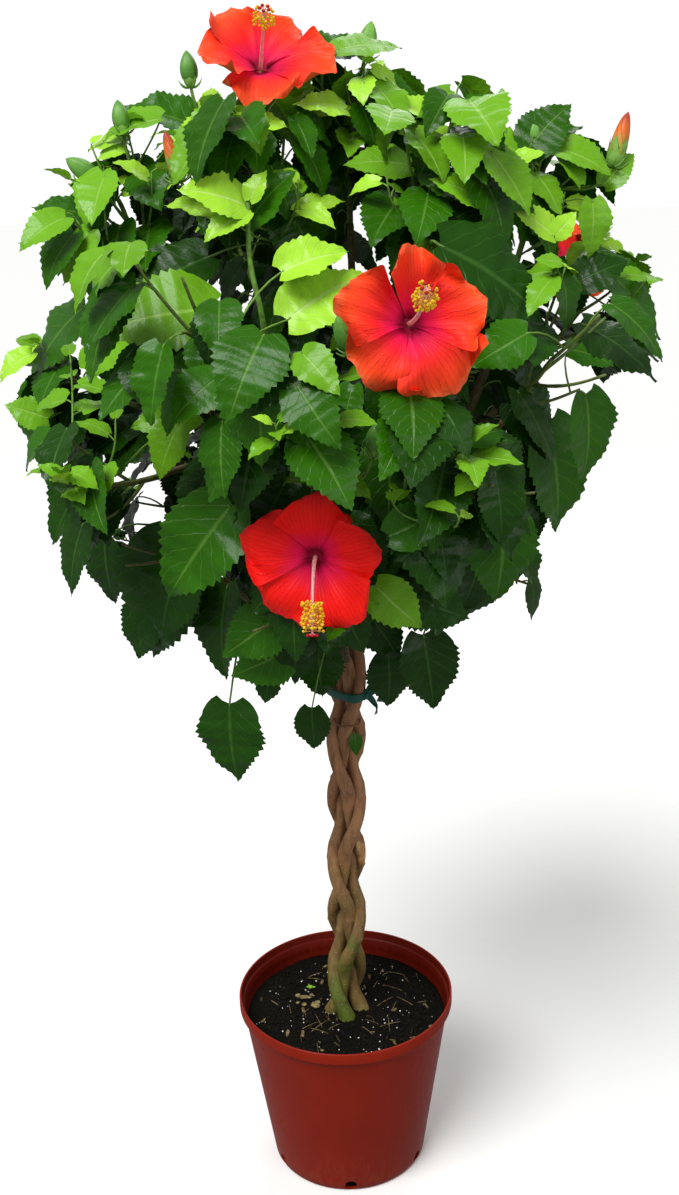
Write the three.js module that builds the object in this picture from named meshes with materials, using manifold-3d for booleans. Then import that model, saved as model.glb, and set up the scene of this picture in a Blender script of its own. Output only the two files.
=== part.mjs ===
import * as THREE from "three";
import Module from "manifold-3d";

// Hibiscus trained as a standard: four plaited stems in a round nursery pot, and an open leafy crown.
// Millimetres, Z up, the origin at the centre of the pot's underside, -Y towards the front.

// Pot and growing mix
const POT_HEIGHT = 218;
const POT_RIM_RADIUS = 127;
const POT_FOOT_RADIUS = 92;
const POT_WALL = 2.6;
const POT_FLOOR = 3.5;
const POT_SIDES = 32;
const RIM_BAND_HEIGHT = 14;
const RIM_STEP = 4.5;
const DRAIN_HOLES = 6;
const DRAIN_RADIUS = 5;
const SOIL_TOP = 190;
const GAP = 0.3;
const SLIVER = 0.02;
const TOUCHING = 2e-5;

// Plaited stems
const STEMS = 4;
const STEM_FOOT_RADIUS = 8.9;
const STEM_TOP_RADIUS = 7.6;
const STEM_FLARE = 1.6;
const STEM_PRESSED = 0.72;
const PLAIT_RADIUS = 12.5;
const PLAIT_SWING = 6;
const PLAIT_TURN = 300;
const PLAIT_PHASE = Math.PI / 4;
const PLAIT_FOOT_X = 1;
const PLAIT_LEAN = 12;
const FORK_Z = 700;
const FORK_SPREAD = 12;
const STEM_STEPS = 17;
const TIE_Z = 602.5;
const TIE_HALF_LONG = 24.2;
const TIE_HALF_SHORT = 13.2;
const TIE_THICK = 1.8;
const TIE_HEIGHT = 9;

// Boughs: radius at the root and at the tip
const LEADER_RADII = [7.2, 3.4];
const BOUGH_RADII = [4.6, 3];
const MASS_STEM_IN = 78;
const MASS_STEM_LENGTH = 92;

// Twigs and leaves of the masses
const TWIGS = 5;
const TWIG_LENGTH = [66, 118];
const MAIN_RADII = [4.2, 3.4];
const TWIG_RADII = [1.5, 1.6];
const STALK_RADIUS = 0.5;
const SET_MARGIN = 0.08;
const LEAF_STEP = 19;
const LEAF_TRIES = 8;
const GOLDEN_ANGLE = (137.5 * Math.PI) / 180;
const LEAF_LENGTH = [76, 108];
const LEAF_THICK = 1.3;
const CROWN_CENTRE = vec(10, 0, 930);
const CROWN_REACH = { x: 334, y: 330, up: 352, down: 278, downRight: 240 };
const CROWN_POWER = 2.4;

// Each mass: its heart, and where its bough leaves, which is a height on the nearest stem,
// a stem's own tip, or a share of the way along another bough
const MASSES = [
  ["high_right", [212, 0, 1125], { tip: 1 }],
  ["top", [30, 20, 1180], { tip: 2 }],
  ["high_left", [-185, -15, 1115], { tip: 3 }],
  ["top_front_right", [105, -70, 1115], { tip: 0 }],
  ["top_front_left", [-62, -50, 1160], { of: "top", at: 0.45 }],
  ["high_back_left", [-95, 130, 1100], { of: "top", at: 0.28 }],
  ["high_back_right", [115, 140, 1085], { of: "top", at: 0.36 }],
  ["front_left", [-105, -190, 1035], { of: "high_left", at: 0.3 }],
  ["front_right", [75, -230, 1010], { of: "top_front_right", at: 0.32 }],
  ["right_front", [195, -130, 988], { of: "high_right", at: 0.3 }],
  ["right", [240, 30, 1005], { of: "high_right", at: 0.42 }],
  ["back_right", [150, 195, 955], { of: "high_right", at: 0.16 }],
  ["back", [-5, 245, 945], { of: "top", at: 0.14 }],
  ["back_left", [-175, 180, 935], { of: "high_left", at: 0.2 }],
  ["left", [-248, 15, 980], { of: "high_left", at: 0.5 }],
  ["left_front", [-205, -140, 915], { of: "high_left", at: 0.4 }],
  ["front", [-30, -235, 965], { of: "top_front_right", at: 0.1 }],
  ["front_low_right", [110, -195, 890], { of: "top_front_right", at: 0.2 }],
  ["inner_front", [20, -80, 940], { of: "top_front_right", at: 0.42 }],
  ["low_front", [-20, -190, 812], { z: 672 }],
  ["low_front_right", [105, -110, 805], { z: 664 }],
  ["low_right", [128, 75, 822], { z: 682 }],
  ["low_back", [10, 180, 800], { z: 668 }],
  ["low_left", [-150, 70, 805], { z: 684 }],
  ["low_front_left", [-120, -105, 800], { z: 660 }],
  ["inner_low", [8, -55, 792], { z: 640 }],
];

// Blossom, buds and single leaves that have a place of their own: kind, centre, facing (azimuth and
// elevation in degrees) and size, which is a radius for blossom and a length for the others
const PLACED = [
  ["blossom", [-51, -40, 1262], [-80, 46], 62],
  ["blossom", [73, -280, 1042], [-82, 12], 63],
  ["blossom", [-16, -245, 830], [-95, 5], 61],
  ["blossom", [105, 300, 966], [75, 20], 61],
  ["blossom", [275, 150, 1046], [50, 12], 54],
  ["blossom", [-150, 245, 900], [125, 8], 58],
  ["leaf", [-108, -125, 645], [-110, -80], 92],
  ["leaf", [-24, -62, 632], [-90, -86], 54],
  ["leaf", [90, -105, 706], [-50, -76], 86],
  ["leaf", [268, -5, 1062], [-8, -36], 110],
  ["leaf", [228, -98, 945], [-24, -78], 92],
  ["leaf", [-50, -262, 1012], [-90, -70], 92],
  ["leaf", [-240, -5, 1032], [182, -38], 108],
  ["leaf", [-262, -20, 950], [190, -28], 84],
  ["leaf", [-150, -30, 1205], [178, -5], 62],
  ["leaf", [18, -25, 1262], [12, 14], 66],
  ["leaf", [190, 0, 1165], [5, 30], 75],
  ["bud", [-186, -30, 1192], [120, 75], 34],
  ["bud", [-212, -20, 1150], [185, 35], 40],
  ["bud", [-270, 0, 1112], [150, 60], 22],
  ["bud", [-118, -45, 1232], [120, 80], 34],
  ["bud", [-128, -90, 1150], [150, 72], 48],
  ["bud", [283, -10, 1150], [20, 72], 54],
  ["bud", [205, -15, 1172], [60, 75], 26],
  ["bud", [176, -10, 1200], [90, 80], 26],
  ["bud", [38, -255, 925], [-40, 80], 32],
  ["bud", [68, -248, 908], [-20, 60], 32],
  ["bud", [24, -265, 1015], [-140, 62], 38],
  ["bud", [45, 10, 1255], [30, 75], 36],
];

const COLOURS = {
  pot: 0x7c2c1f,
  soil: 0x2a2320,
  stem: 0x6b4a30,
  bough: 0x745236,
  mass: 0x2f7a2a,
  tie: 0x14604f,
};

const wasm = await Module();
wasm.setup();

// Vectors and seeded numbers

function vec(x, y, z) {
  return new THREE.Vector3(x, y, z);
}

const UP = vec(0, 0, 1);

function plus(a, b, scale = 1) {
  return a.clone().addScaledVector(b, scale);
}

function unit(v) {
  return v.clone().normalize();
}

function mixed(...pairs) {
  return unit(pairs.reduce((sum, [v, share]) => plus(sum, v, share), vec(0, 0, 0)));
}

function aim([azimuth, elevation]) {
  const a = THREE.MathUtils.degToRad(azimuth);
  const e = THREE.MathUtils.degToRad(elevation);
  return vec(Math.cos(e) * Math.cos(a), Math.cos(e) * Math.sin(a), Math.sin(e));
}

// A number from 0 to 1 that belongs to its three whole numbers.
function draw(a, b = 0, c = 0) {
  let h = Math.imul(a + 1, 0x9e3779b1) ^ Math.imul(b + 1, 0x85ebca6b) ^ Math.imul(c + 1, 0xc2b2ae35);
  h ^= h >>> 15;
  h = Math.imul(h, 0x2c1b3c6d);
  h ^= h >>> 12;
  h = Math.imul(h, 0x297a2d39);
  h ^= h >>> 15;
  return (h >>> 0) / 4294967296;
}

function between([low, high], a, b, c) {
  return low + (high - low) * draw(a, b, c);
}

// Closed surfaces

// A skin through rings of points that turn anticlockwise about the way they follow; one point is a pole.
// An open skin has no cap on its first ring.
function skinThrough(rings, open = false) {
  const points = rings.flat();
  const sides = Math.max(...rings.map((ring) => ring.length));
  const faces = [];
  let from = 0;
  rings.forEach((ring, k) => {
    const to = from + ring.length;
    const next = rings[k + 1];
    for (let i = 0; next && i < sides; i++) {
      const j = (i + 1) % sides;
      const [a, b] = ring.length > 1 ? [from + i, from + j] : [from, from];
      const [c, d] = next.length > 1 ? [to + j, to + i] : [to, to];
      if (a !== b) faces.push([a, b, c]);
      if (c !== d) faces.push([a, c, d]);
    }
    from = to;
  });
  const last = points.length - sides;
  for (let i = 1; i < sides - 1; i++) {
    if (rings[0].length > 1 && !open) faces.push([0, i + 1, i]);
    if (rings.at(-1).length > 1) faces.push([last, last + i, last + i + 1]);
  }
  return { points, faces };
}

function solidThrough(rings) {
  return solidOf(skinThrough(rings));
}

function solidOf({ points, faces }) {
  const vertProperties = new Float32Array(points.flatMap((p) => [p.x, p.y, p.z]));
  const triVerts = new Uint32Array(faces.flat());
  return new wasm.Manifold(new wasm.Mesh({ numProp: 3, vertProperties, triVerts }));
}

// The ring an angle at a time about an axis: place(angle) gives each point.
function ringOf(sides, place) {
  return Array.from({ length: sides }, (_, i) => place((2 * Math.PI * i) / sides));
}

// A solid turned about Z from its profile of radius and height.
function turned(profile, sides) {
  return solidThrough(
    profile.map(([r, z]) =>
      r === 0 ? [vec(0, 0, z)] : ringOf(sides, (a) => vec(r * Math.cos(a), r * Math.sin(a), z)),
    ),
  );
}

// Two directions across a way, a quarter turn apart, carried on from the last pair.
function pairAcross(way, last) {
  const a = unit(plus(last, way, -last.dot(way)));
  return [a, way.clone().cross(a)];
}

function sideways(way) {
  return Math.abs(way.z) < 0.95 ? unit(way.clone().cross(UP)) : unit(way.clone().cross(vec(1, 0, 0)));
}

// The rings of a tapering round limb along its points.
function limbRings(points, [rootRadius, tipRadius], sides) {
  let last = sideways(unit(plus(points[1], points[0], -1)));
  return points.map((p, k) => {
    const before = points[Math.max(0, k - 1)];
    const after = points[Math.min(points.length - 1, k + 1)];
    const [a, b] = pairAcross(unit(plus(after, before, -1)), last);
    last = a;
    const r = rootRadius + ((tipRadius - rootRadius) * k) / (points.length - 1);
    return ringOf(sides, (t) => plus(plus(p, a, r * Math.cos(t)), b, r * Math.sin(t)));
  });
}

function limb(points, radii, sides) {
  return solidThrough(limbRings(points, radii, sides));
}

// Setting one skin into another

// Where a ring about a centre fits inside a face, between the edges beside it; along is the limb's own way.
function settingIn(corners, ring, centre, way, along) {
  const [a, b, c] = corners;
  const normal = plus(b, a, -1).cross(plus(c, a, -1)).normalize();
  const facing = normal.dot(way);
  const away = plus(centre, a, -1).dot(normal);
  if (facing < 0.12 || Math.abs(away) > 4) return null;
  const flat = plus(centre, normal, -away);
  const edges = corners.map((p, i) => ({ p, inward: unit(normal.clone().cross(plus(corners[(i + 1) % 3], p, -1))) }));
  const across = Math.abs(normal.dot(along)) < 0.9 ? unit(normal.clone().cross(along)) : sideways(normal);
  const spans = edges.map(({ p, inward }) => [plus(flat, p, -1).dot(inward), across.dot(inward)]);
  const low = Math.max(-9, ...spans.filter(([, s]) => s > 1e-6).map(([d, s]) => -d / s));
  const high = Math.min(9, ...spans.filter(([, s]) => s < -1e-6).map(([d, s]) => -d / s));
  if (low >= high) return null;
  const onEnd = Math.abs(normal.dot(along)) > 0.9;
  const shift = onEnd ? plus(plus(a, b), c).divideScalar(3) : plus(flat, across, (low + high) / 2);
  const placed = ring.map((p) => {
    const from = plus(p, centre, -1);
    return plus(shift, unit(plus(from, normal, -from.dot(normal))), from.length());
  });
  const fits = placed.every((q) => edges.every(({ p, inward }) => plus(q, p, -1).dot(inward) > SET_MARGIN));
  return fits ? { placed, normal, cost: Math.abs(low + high) / 2 - facing } : null;
}

// The six faces between a triangle and a smaller one inside it, each turning the right way.
function facesBetween(outer, inner, points, normal) {
  const turns = (f) => {
    const [a, b, c] = f.map((i) => points[i]);
    return plus(b, a, -1).cross(plus(c, a, -1)).dot(normal);
  };
  let best = null;
  for (let start = 0; start < 3; start++) {
    for (let order = 0; order < 64; order++) {
      const faces = [];
      let [o, i] = [0, start];
      for (let bit = 0; bit < 6; bit++) {
        const [a, b] = [outer[o % 3], inner[i % 3]];
        if (order & (1 << bit)) faces.push([a, outer[++o % 3], b]);
        else faces.push([a, inner[++i % 3], b]);
      }
      const least = o === 3 ? Math.min(...faces.map(turns)) : -1;
      if (least > 0.02 && (!best || least > best.least)) best = { least, faces };
    }
  }
  return best && best.faces;
}

// Sets an open three-sided skin into the side of a body over which its first ring stands, where it clears
// the solids, and returns its own solid.
function setInto(body, skin, centre, way, along, solids) {
  const ring = skin.points.slice(0, 3);
  const settings = [];
  body.faces.forEach((face, f) => {
    const found = settingIn(face.map((i) => body.points[i]), ring, centre, way, along);
    if (found) settings.push({ ...found, f });
  });
  settings.sort((a, b) => a.cost - b.cost);
  for (const { placed, normal, f } of settings) {
    const from = body.points.length;
    const points = [...body.points, ...placed, ...skin.points.slice(3)];
    const join = facesBetween(body.faces[f], [from, from + 1, from + 2], points, normal);
    if (!join) continue;
    const solid = solidOf({ points: points.slice(from), faces: [[0, 2, 1], ...skin.faces] });
    if (solids.some((other) => crosses(solid, other))) continue;
    body.points = points;
    body.faces.splice(f, 1, ...join, ...skin.faces.map((face) => face.map((i) => i + from)));
    return solid;
  }
  return null;
}

// Sets it in at the centre or as near to it along the limb as there is room for it.
function setAlong(body, skin, centre, way, along, solids) {
  for (const d of [0, 2, -2, 4, -4, 6, -6, 8, -8, 11, -11, 14, -14]) {
    const solid = setInto(body, skin, plus(centre, along, d), way, along, solids);
    if (solid) return solid;
  }
  return null;
}

function curve(from, middle, to, steps) {
  return Array.from({ length: steps + 1 }, (_, k) => {
    const t = k / steps;
    return plus(plus(from.clone().multiplyScalar((1 - t) ** 2), middle, 2 * t * (1 - t)), to, t * t);
  });
}

function pointAlong(points, share) {
  const x = share * (points.length - 1);
  const k = Math.min(Math.floor(x), points.length - 2);
  const way = plus(points[k + 1], points[k], -1);
  return [plus(points[k], way, x - k), unit(way)];
}

// Pot and growing mix

function potWall(z) {
  return POT_FOOT_RADIUS + ((POT_RIM_RADIUS - RIM_STEP - POT_FOOT_RADIUS) * z) / (POT_HEIGHT - RIM_BAND_HEIGHT);
}

function pot() {
  const band = POT_HEIGHT - RIM_BAND_HEIGHT;
  const inner = (z) => potWall(z) - POT_WALL;
  const body = turned(
    [
      [0, 0],
      [POT_FOOT_RADIUS - 3, 0],
      [potWall(4), 4],
      [potWall(band), band],
      [POT_RIM_RADIUS, band + 1],
      [POT_RIM_RADIUS, POT_HEIGHT - 1.5],
      [POT_RIM_RADIUS - POT_WALL, POT_HEIGHT],
      [POT_RIM_RADIUS - POT_WALL - 0.6, band + 4],
      [inner(band - 2), band - 2],
      [inner(POT_FLOOR), POT_FLOOR],
      [0, POT_FLOOR],
    ],
    POT_SIDES,
  );
  const drill = turned([[0, 0], [DRAIN_RADIUS, 0], [DRAIN_RADIUS, 14], [0, 14]], 10).rotate([0, 90, 0]);
  const holes = Array.from({ length: DRAIN_HOLES }, (_, k) =>
    drill.translate([POT_FOOT_RADIUS - 10, 0, 5.5]).rotate([0, 0, -90 + (360 * k) / DRAIN_HOLES]),
  );
  return body.subtract(wasm.Manifold.union(holes));
}

function soil() {
  const inner = (z) => potWall(z) - POT_WALL - GAP;
  const foot = POT_FLOOR + GAP;
  return turned([[0, foot], [inner(foot), foot], [inner(SOIL_TOP), SOIL_TOP], [0, SOIL_TOP]], POT_SIDES);
}

// Plaited stems

function plaitCentre(z) {
  return vec(PLAIT_FOOT_X + (PLAIT_LEAN * (z - SOIL_TOP)) / (FORK_Z - SOIL_TOP), 0, z);
}

// Where a stem runs at a height: its angle, its distance from the plait's centre line, how far it is pressed.
function strand(k, z) {
  const turn = PLAIT_PHASE + (2 * Math.PI * (z - SOIL_TOP)) / PLAIT_TURN;
  const way = k % 2 === 0 ? 1 : -1;
  const foot = Math.max(0, 1 - (z - SOIL_TOP) / 60);
  const top = Math.max(0, (z - 620) / (FORK_Z - 620));
  return {
    angle: -Math.PI / 4 + (k >= 2 ? Math.PI : 0) + way * turn,
    out: PLAIT_RADIUS + way * PLAIT_SWING * Math.cos(2 * turn) + 4 * foot * foot + FORK_SPREAD * top * top,
    pressed: 1 - (1 - STEM_PRESSED) * Math.abs(Math.cos(2 * turn)) * (1 - top) * (1 - foot),
  };
}

function strandPoint(k, z) {
  const { angle, out } = strand(k, z);
  return plus(plaitCentre(z), vec(Math.cos(angle), Math.sin(angle), 0), out);
}

function stemTop(k) {
  return FORK_Z + 8 * k;
}

function stemHeights(k) {
  return Array.from({ length: STEM_STEPS + 1 }, (_, i) => {
    return SOIL_TOP + GAP + ((stemTop(k) - SOIL_TOP - GAP) * i) / STEM_STEPS;
  });
}

function stemRadius(k, z) {
  const share = (z - SOIL_TOP) / (stemTop(k) - SOIL_TOP);
  const flare = Math.max(0, 1 - (z - SOIL_TOP) / 25) ** 2;
  return STEM_FOOT_RADIUS + (STEM_TOP_RADIUS - STEM_FOOT_RADIUS) * share + STEM_FLARE * flare;
}

// A stem as level rings, flatter where another crosses it; grown by the clearance when it is a cutter.
function stem(k, clearance = 0) {
  const heights = stemHeights(k);
  if (clearance) heights[0] -= 1;
  return solidThrough(
    heights.map((z) => {
      const { angle, pressed } = strand(k, z);
      const r = stemRadius(k, z) + clearance;
      const out = vec(Math.cos(angle), Math.sin(angle), 0);
      const across = UP.clone().cross(out);
      const middle = strandPoint(k, z);
      return ringOf(8, (t) => plus(plus(middle, out, r * pressed * Math.cos(t)), across, r * Math.sin(t)));
    }),
  );
}

// The largest body of a cut or joined solid, without the slivers that cutting leaves.
function largest(solid) {
  const bodies = solid.asOriginal().simplify(SLIVER).decompose();
  return bodies.sort((a, b) => b.volume() - a.volume())[0];
}

// A band round the plait, fitted to the stems it holds.
function tie(limbs) {
  const across = TIE_HALF_SHORT / TIE_HALF_LONG;
  const long = unit(plus(strandPoint(0, TIE_Z), plaitCentre(TIE_Z), -1));
  const short = UP.clone().cross(long);
  const loop = (half, z) =>
    ringOf(20, (t) => {
      const c = Math.cos(t);
      const s = Math.sin(t);
      const r = half / (Math.abs(c) ** 3 + Math.abs(s) ** 3) ** (1 / 3);
      return plus(plus(plaitCentre(z), long, r * c), short, r * s * across);
    });
  const block = (half, low, high) => solidThrough([loop(half, low), loop(half, high)]);
  const low = TIE_Z - TIE_HEIGHT / 2;
  const high = TIE_Z + TIE_HEIGHT / 2;
  const stems = wasm.Manifold.union(limbs.slice(0, STEMS).map(({ solid }) => solid));
  const band = block(TIE_HALF_LONG + TIE_THICK, low, high).subtract(block(TIE_HALF_LONG, low - 1, high + 1));
  return largest(band.subtract(stems));
}

// Boughs

// The stem that stands furthest out towards a heart at a height.
function stemTowards(heart, z) {
  const middle = plaitCentre(z);
  const side = plus(heart, middle, -1).setZ(0);
  const out = (k) => plus(strandPoint(k, z), middle, -1).dot(side);
  return [0, 1, 2, 3].sort((a, b) => out(b) - out(a))[0];
}

function rootOf(heart, from, boughs) {
  if (from.tip !== undefined) {
    const z = stemTop(from.tip);
    const below = strandPoint(from.tip, z - 12);
    const top = strandPoint(from.tip, z);
    return { root: plus(top, UP, GAP), way: unit(plus(top, below, -1)), leader: true };
  }
  if (from.z !== undefined) {
    const k = stemTowards(heart, from.z);
    const root = strandPoint(k, from.z);
    return { root, way: mixed([plus(root, plaitCentre(from.z), -1).normalize(), 1], [UP, 0.6]), leader: false };
  }
  const [root, way] = pointAlong(boughs.get(from.of).points, from.at);
  return { root, way, leader: false };
}

function boughOf([name, at, from], boughs) {
  const heart = vec(...at);
  const { root, way, leader } = rootOf(heart, from, boughs);
  const straight = unit(plus(heart, root, -1));
  const approach = mixed([straight, 1], [UP, 0.35]);
  const m = MASSES.findIndex((mass) => mass[0] === name);
  let back = MASS_STEM_IN;
  while (back > 30 && !inCell(m, plus(heart, approach, -back), 5)) back -= 6;
  const tip = plus(heart, approach, -back);
  const span = tip.distanceTo(root);
  const middle = plus(plus(root.clone().lerp(tip, 0.4), way, span * 0.14), unit(straight.setZ(0.01)), span * 0.1);
  return { name, heart, leader, points: curve(root, middle, tip, 5), radii: leader ? LEADER_RADII : BOUGH_RADII };
}

// Spaces: the crown's reach, each mass's own cell, and clearance from limbs and blossom

const hearts = MASSES.map(([, at]) => vec(...at));
const boughs = new Map();
for (const mass of MASSES) boughs.set(mass[0], boughOf(mass, boughs));
const stemLines = Array.from({ length: STEMS }, (_, k) => ({
  points: stemHeights(k).map((z) => strandPoint(k, z)),
  radii: [STEM_FOOT_RADIUS, STEM_TOP_RADIUS],
}));
const limbPieces = [...stemLines, ...boughs.values()].flatMap(({ name, points, radii: [r0, r1] }) =>
  points.slice(1).map((to, k) => {
    const way = plus(to, points[k], -1);
    const r = r0 + ((r1 - r0) * k) / (points.length - 1);
    return { owner: name, from: points[k], way, length2: way.lengthSq(), r };
  }),
);
const blossoms = PLACED.filter(([kind]) => kind === "blossom").map(([, at, facing, size]) => {
  return { at: vec(...at), facing: aim(facing), size };
});

function crownShare(p) {
  const w = plus(p, CROWN_CENTRE, -1);
  const below = w.x > 0 ? CROWN_REACH.downRight : CROWN_REACH.down;
  const tall = w.z > 0 ? CROWN_REACH.up : below;
  return (
    Math.abs(w.x / CROWN_REACH.x) ** CROWN_POWER +
    Math.abs(w.y / CROWN_REACH.y) ** CROWN_POWER +
    Math.abs(w.z / tall) ** CROWN_POWER
  );
}

function inCell(m, p, margin) {
  return hearts.every((heart, k) => {
    if (k === m) return true;
    const way = plus(heart, hearts[m], -1);
    const half = plus(p, hearts[m], -1).dot(way) / way.length() - way.length() / 2;
    return half < -margin;
  });
}

function clearOfLimbs(p, margin, owner) {
  return limbPieces.every((piece) => {
    if (owner !== undefined && piece.owner === owner) return true;
    const share = plus(p, piece.from, -1).dot(piece.way) / piece.length2;
    const near = plus(piece.from, piece.way, Math.min(1, Math.max(0, share)));
    return near.distanceTo(p) - piece.r > margin;
  });
}

function clearOfBlossom(p, margin) {
  return blossoms.every(({ at, facing, size }) => {
    const w = plus(p, at, -1);
    const ahead = w.dot(facing);
    const aside = Math.sqrt(Math.max(0, w.lengthSq() - ahead * ahead));
    return ahead < -22 || ahead > 140 || aside > size * 0.92 + margin + Math.max(0, ahead) * 0.12;
  });
}

function outwards(p) {
  return unit(plus(p, CROWN_CENTRE, -1));
}

// Twigs: each bends towards the light and stops where it would leave its space or touch a limb

function twig(from, way, length, steps, rise, m, radii) {
  const points = [from];
  let going = way;
  for (let k = 0; k < steps; k++) {
    const at = points.at(-1);
    going = mixed([going, 1], [UP, 0.6 * rise], [outwards(at), 0.4 * rise]);
    const to = plus(at, going, length / steps);
    const owner = k === 0 ? MASSES[m][0] : undefined;
    const half = at.clone().lerp(to, 0.5);
    if (!inCell(m, to, 6) || crownShare(to) > 0.78) break;
    if (!clearOfLimbs(to, 5, owner) || !clearOfLimbs(half, 4, owner) || !clearOfBlossom(to, 6)) break;
    points.push(to);
  }
  return { m, points, radii, way, along: way };
}

function massTwigs(m) {
  const { points } = boughs.get(MASSES[m][0]);
  const way = unit(plus(points.at(-1), points.at(-2), -1));
  const main = twig(plus(points.at(-1), way, GAP), way, MASS_STEM_LENGTH, 3, 0.18, m, MAIN_RADII);
  if (main.points.length < 2) throw new Error(MASSES[m][0] + " has no stem");
  const twigs = [main];
  for (let i = 0; i < TWIGS; i++) {
    const [from, along] = pointAlong(main.points, 0.2 + (0.8 * i) / (TWIGS - 1));
    const [a, b] = pairAcross(along, sideways(along));
    const angle = i * GOLDEN_ANGLE + m;
    const aside = plus(a.multiplyScalar(Math.cos(angle)), b, Math.sin(angle));
    const spread = i === TWIGS - 1 ? 0.25 : 1;
    const start = mixed([along, 0.6], [aside, spread], [outwards(from), 0.75]);
    const grown = twig(from, start, between(TWIG_LENGTH, m, i, 5), 3, 0.25, m, TWIG_RADII);
    if (grown.points.length > 1) twigs.push({ ...grown, along });
  }
  return twigs;
}

// Leaves

// A leaf on a twig: which way its stalk and its blade go, and how it is bent.
function leafAt(p, along, key, m, attempt, share) {
  const [a, b] = pairAcross(along, sideways(along));
  const angle = key * GOLDEN_ANGLE + between([-0.5, 0.5], m, key, 1 + attempt) + attempt * 1.9;
  const aside = plus(a.multiplyScalar(Math.cos(angle)), b, Math.sin(angle));
  const out = outwards(p);
  const stalk = mixed([along, 0.55], [aside, 0.85], [out, 0.5], [UP, 0.15]);
  const fit = (p.z > 1080 ? 0.88 : 1) * (attempt > 4 ? 0.76 : 1);
  const size = between(LEAF_LENGTH, m, key, 11) * (1 - 0.42 * share ** 3) * fit;
  const base = plus(p, stalk, size * between([0.28, 0.5], m, key, 12));
  const level = unit(plus(stalk, out, 0.55).setZ(0));
  const turn = between([-0.55, 0.55], m, key, 19);
  const flat = unit(plus(level, vec(-level.y, level.x, 0), turn));
  const high = Math.min(1, Math.max(0, (p.z - 700) / 520));
  const low = between([38, 86], m, key, 13) * (1 - high);
  const droop = THREE.MathUtils.degToRad(low + between([4, 56], m, key, 13) * high);
  const way = plus(flat.multiplyScalar(Math.cos(droop)), UP, -Math.sin(droop));
  const tilt = vec(between([-1, 1], m, key, 14), between([-1, 1], m, key, 15), 0);
  const width = size * between([0.68, 0.84], m, key, 16);
  const bend = THREE.MathUtils.degToRad(between([14, 50], m, key, 17));
  const up = plus(plus(UP.clone().multiplyScalar(0.75), out, 0.7), tilt, 0.35);
  return leafOf(m, p, base, way, up, size, width, bend);
}

// Its blade is an arc from the base; left, right and middle are the widest place, at two fifths.
function leafOf(m, root, base, way, up, length, width, bend) {
  const normal = unit(plus(up, way, -up.dot(way)));
  const left = normal.clone().cross(way);
  const arc = (share) => {
    const a = bend * share;
    return plus(plus(base, way, (length * Math.sin(a)) / bend), normal, (-length * (1 - Math.cos(a))) / bend);
  };
  const middle = arc(0.4);
  const half = width / 2;
  const blade = [base, plus(middle, left, half), arc(1), plus(middle, left, -half), middle];
  return { m, root, normal, blade, length };
}

const BLADE_FACES = [[0, 1, 4], [1, 2, 4], [2, 3, 4], [3, 0, 4]];
const BLADE_EDGES = [[0, 1], [1, 2], [2, 3], [3, 0], [0, 4], [4, 2]];

// Whether the line from a to b passes through a triangle.
function pierces(a, b, [p, q, r]) {
  const e1 = plus(q, p, -1);
  const e2 = plus(r, p, -1);
  const way = plus(b, a, -1);
  const h = way.clone().cross(e2);
  const det = e1.dot(h);
  if (Math.abs(det) < 1e-9) return false;
  const s = plus(a, p, -1);
  const u = s.dot(h) / det;
  const c = s.clone().cross(e1);
  const v = way.dot(c) / det;
  const t = e2.dot(c) / det;
  return u >= 0 && v >= 0 && u + v <= 1 && t >= 0 && t <= 1;
}

function passesThrough(one, other) {
  const lines = BLADE_EDGES.map(([i, j]) => [one.blade[i], one.blade[j]]);
  lines.push([one.root, one.blade[0]]);
  return lines.some(([a, b]) => BLADE_FACES.some((f) => pierces(a, b, f.map((i) => other.blade[i]))));
}

// Whether any twig, other than the one it grows from, passes through a leaf's blade.
function spearedBy({ root, blade }, twigLines) {
  return twigLines.some(([a, b]) => {
    if (a.distanceTo(root) > 260) return false;
    return BLADE_FACES.some((f) => pierces(a, b, f.map((i) => blade[i])));
  });
}

function apart(one, other) {
  const away = one.blade[4].distanceTo(other.blade[4]);
  if (away > 160) return true;
  return away > 13 && !passesThrough(one, other) && !passesThrough(other, one);
}

function hasRoom(leaf, leaves, twigLines, reach) {
  const middles = [[0, 4], [4, 2], [0, 1], [0, 3]].map(([i, j]) => leaf.blade[i].clone().lerp(leaf.blade[j], 0.5));
  const points = [...leaf.blade, ...middles];
  return (
    leaf.blade.every((p) => inCell(leaf.m, p, 1.6) && crownShare(p) < reach) &&
    points.every((p) => clearOfLimbs(p, 6) && clearOfBlossom(p, 0)) &&
    [0.35, 0.7].every((share) => clearOfLimbs(leaf.root.clone().lerp(leaf.blade[0], share), 2)) &&
    !spearedBy(leaf, twigLines) &&
    leaves.every((other) => apart(leaf, other))
  );
}

// Blossom, buds and leaves with a place of their own

function massNearest(p) {
  const away = hearts.map((heart) => heart.distanceTo(p));
  return away.indexOf(Math.min(...away));
}

// The place on a mass's twigs from which a spur climbs to a point.
function spurRoot(m, twigs, p) {
  let best = { cost: Infinity };
  twigs.forEach(({ m: owner, points }, t) => {
    for (let share = 0.05; owner === m && share < 0.96; share += 0.1) {
      const [at, along] = pointAlong(points, share);
      const cost = at.distanceTo(p) + 0.8 * Math.max(0, at.z - p.z + 20);
      if (cost < best.cost) best = { cost, at, along, twig: t };
    }
  });
  return best;
}

function placedLeaf(at, facing, size, push, twigs) {
  const base = plus(vec(...at), outwards(vec(...at)), push);
  const m = massNearest(base);
  const up = plus(plus(outwards(base), UP, 0.6), vec(0, -0.7, 0));
  const { at: root, along, twig } = spurRoot(m, twigs, base);
  return { ...leafOf(m, root, base, aim(facing), up, size, size * 0.8, 0.5), along, twig };
}

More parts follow.
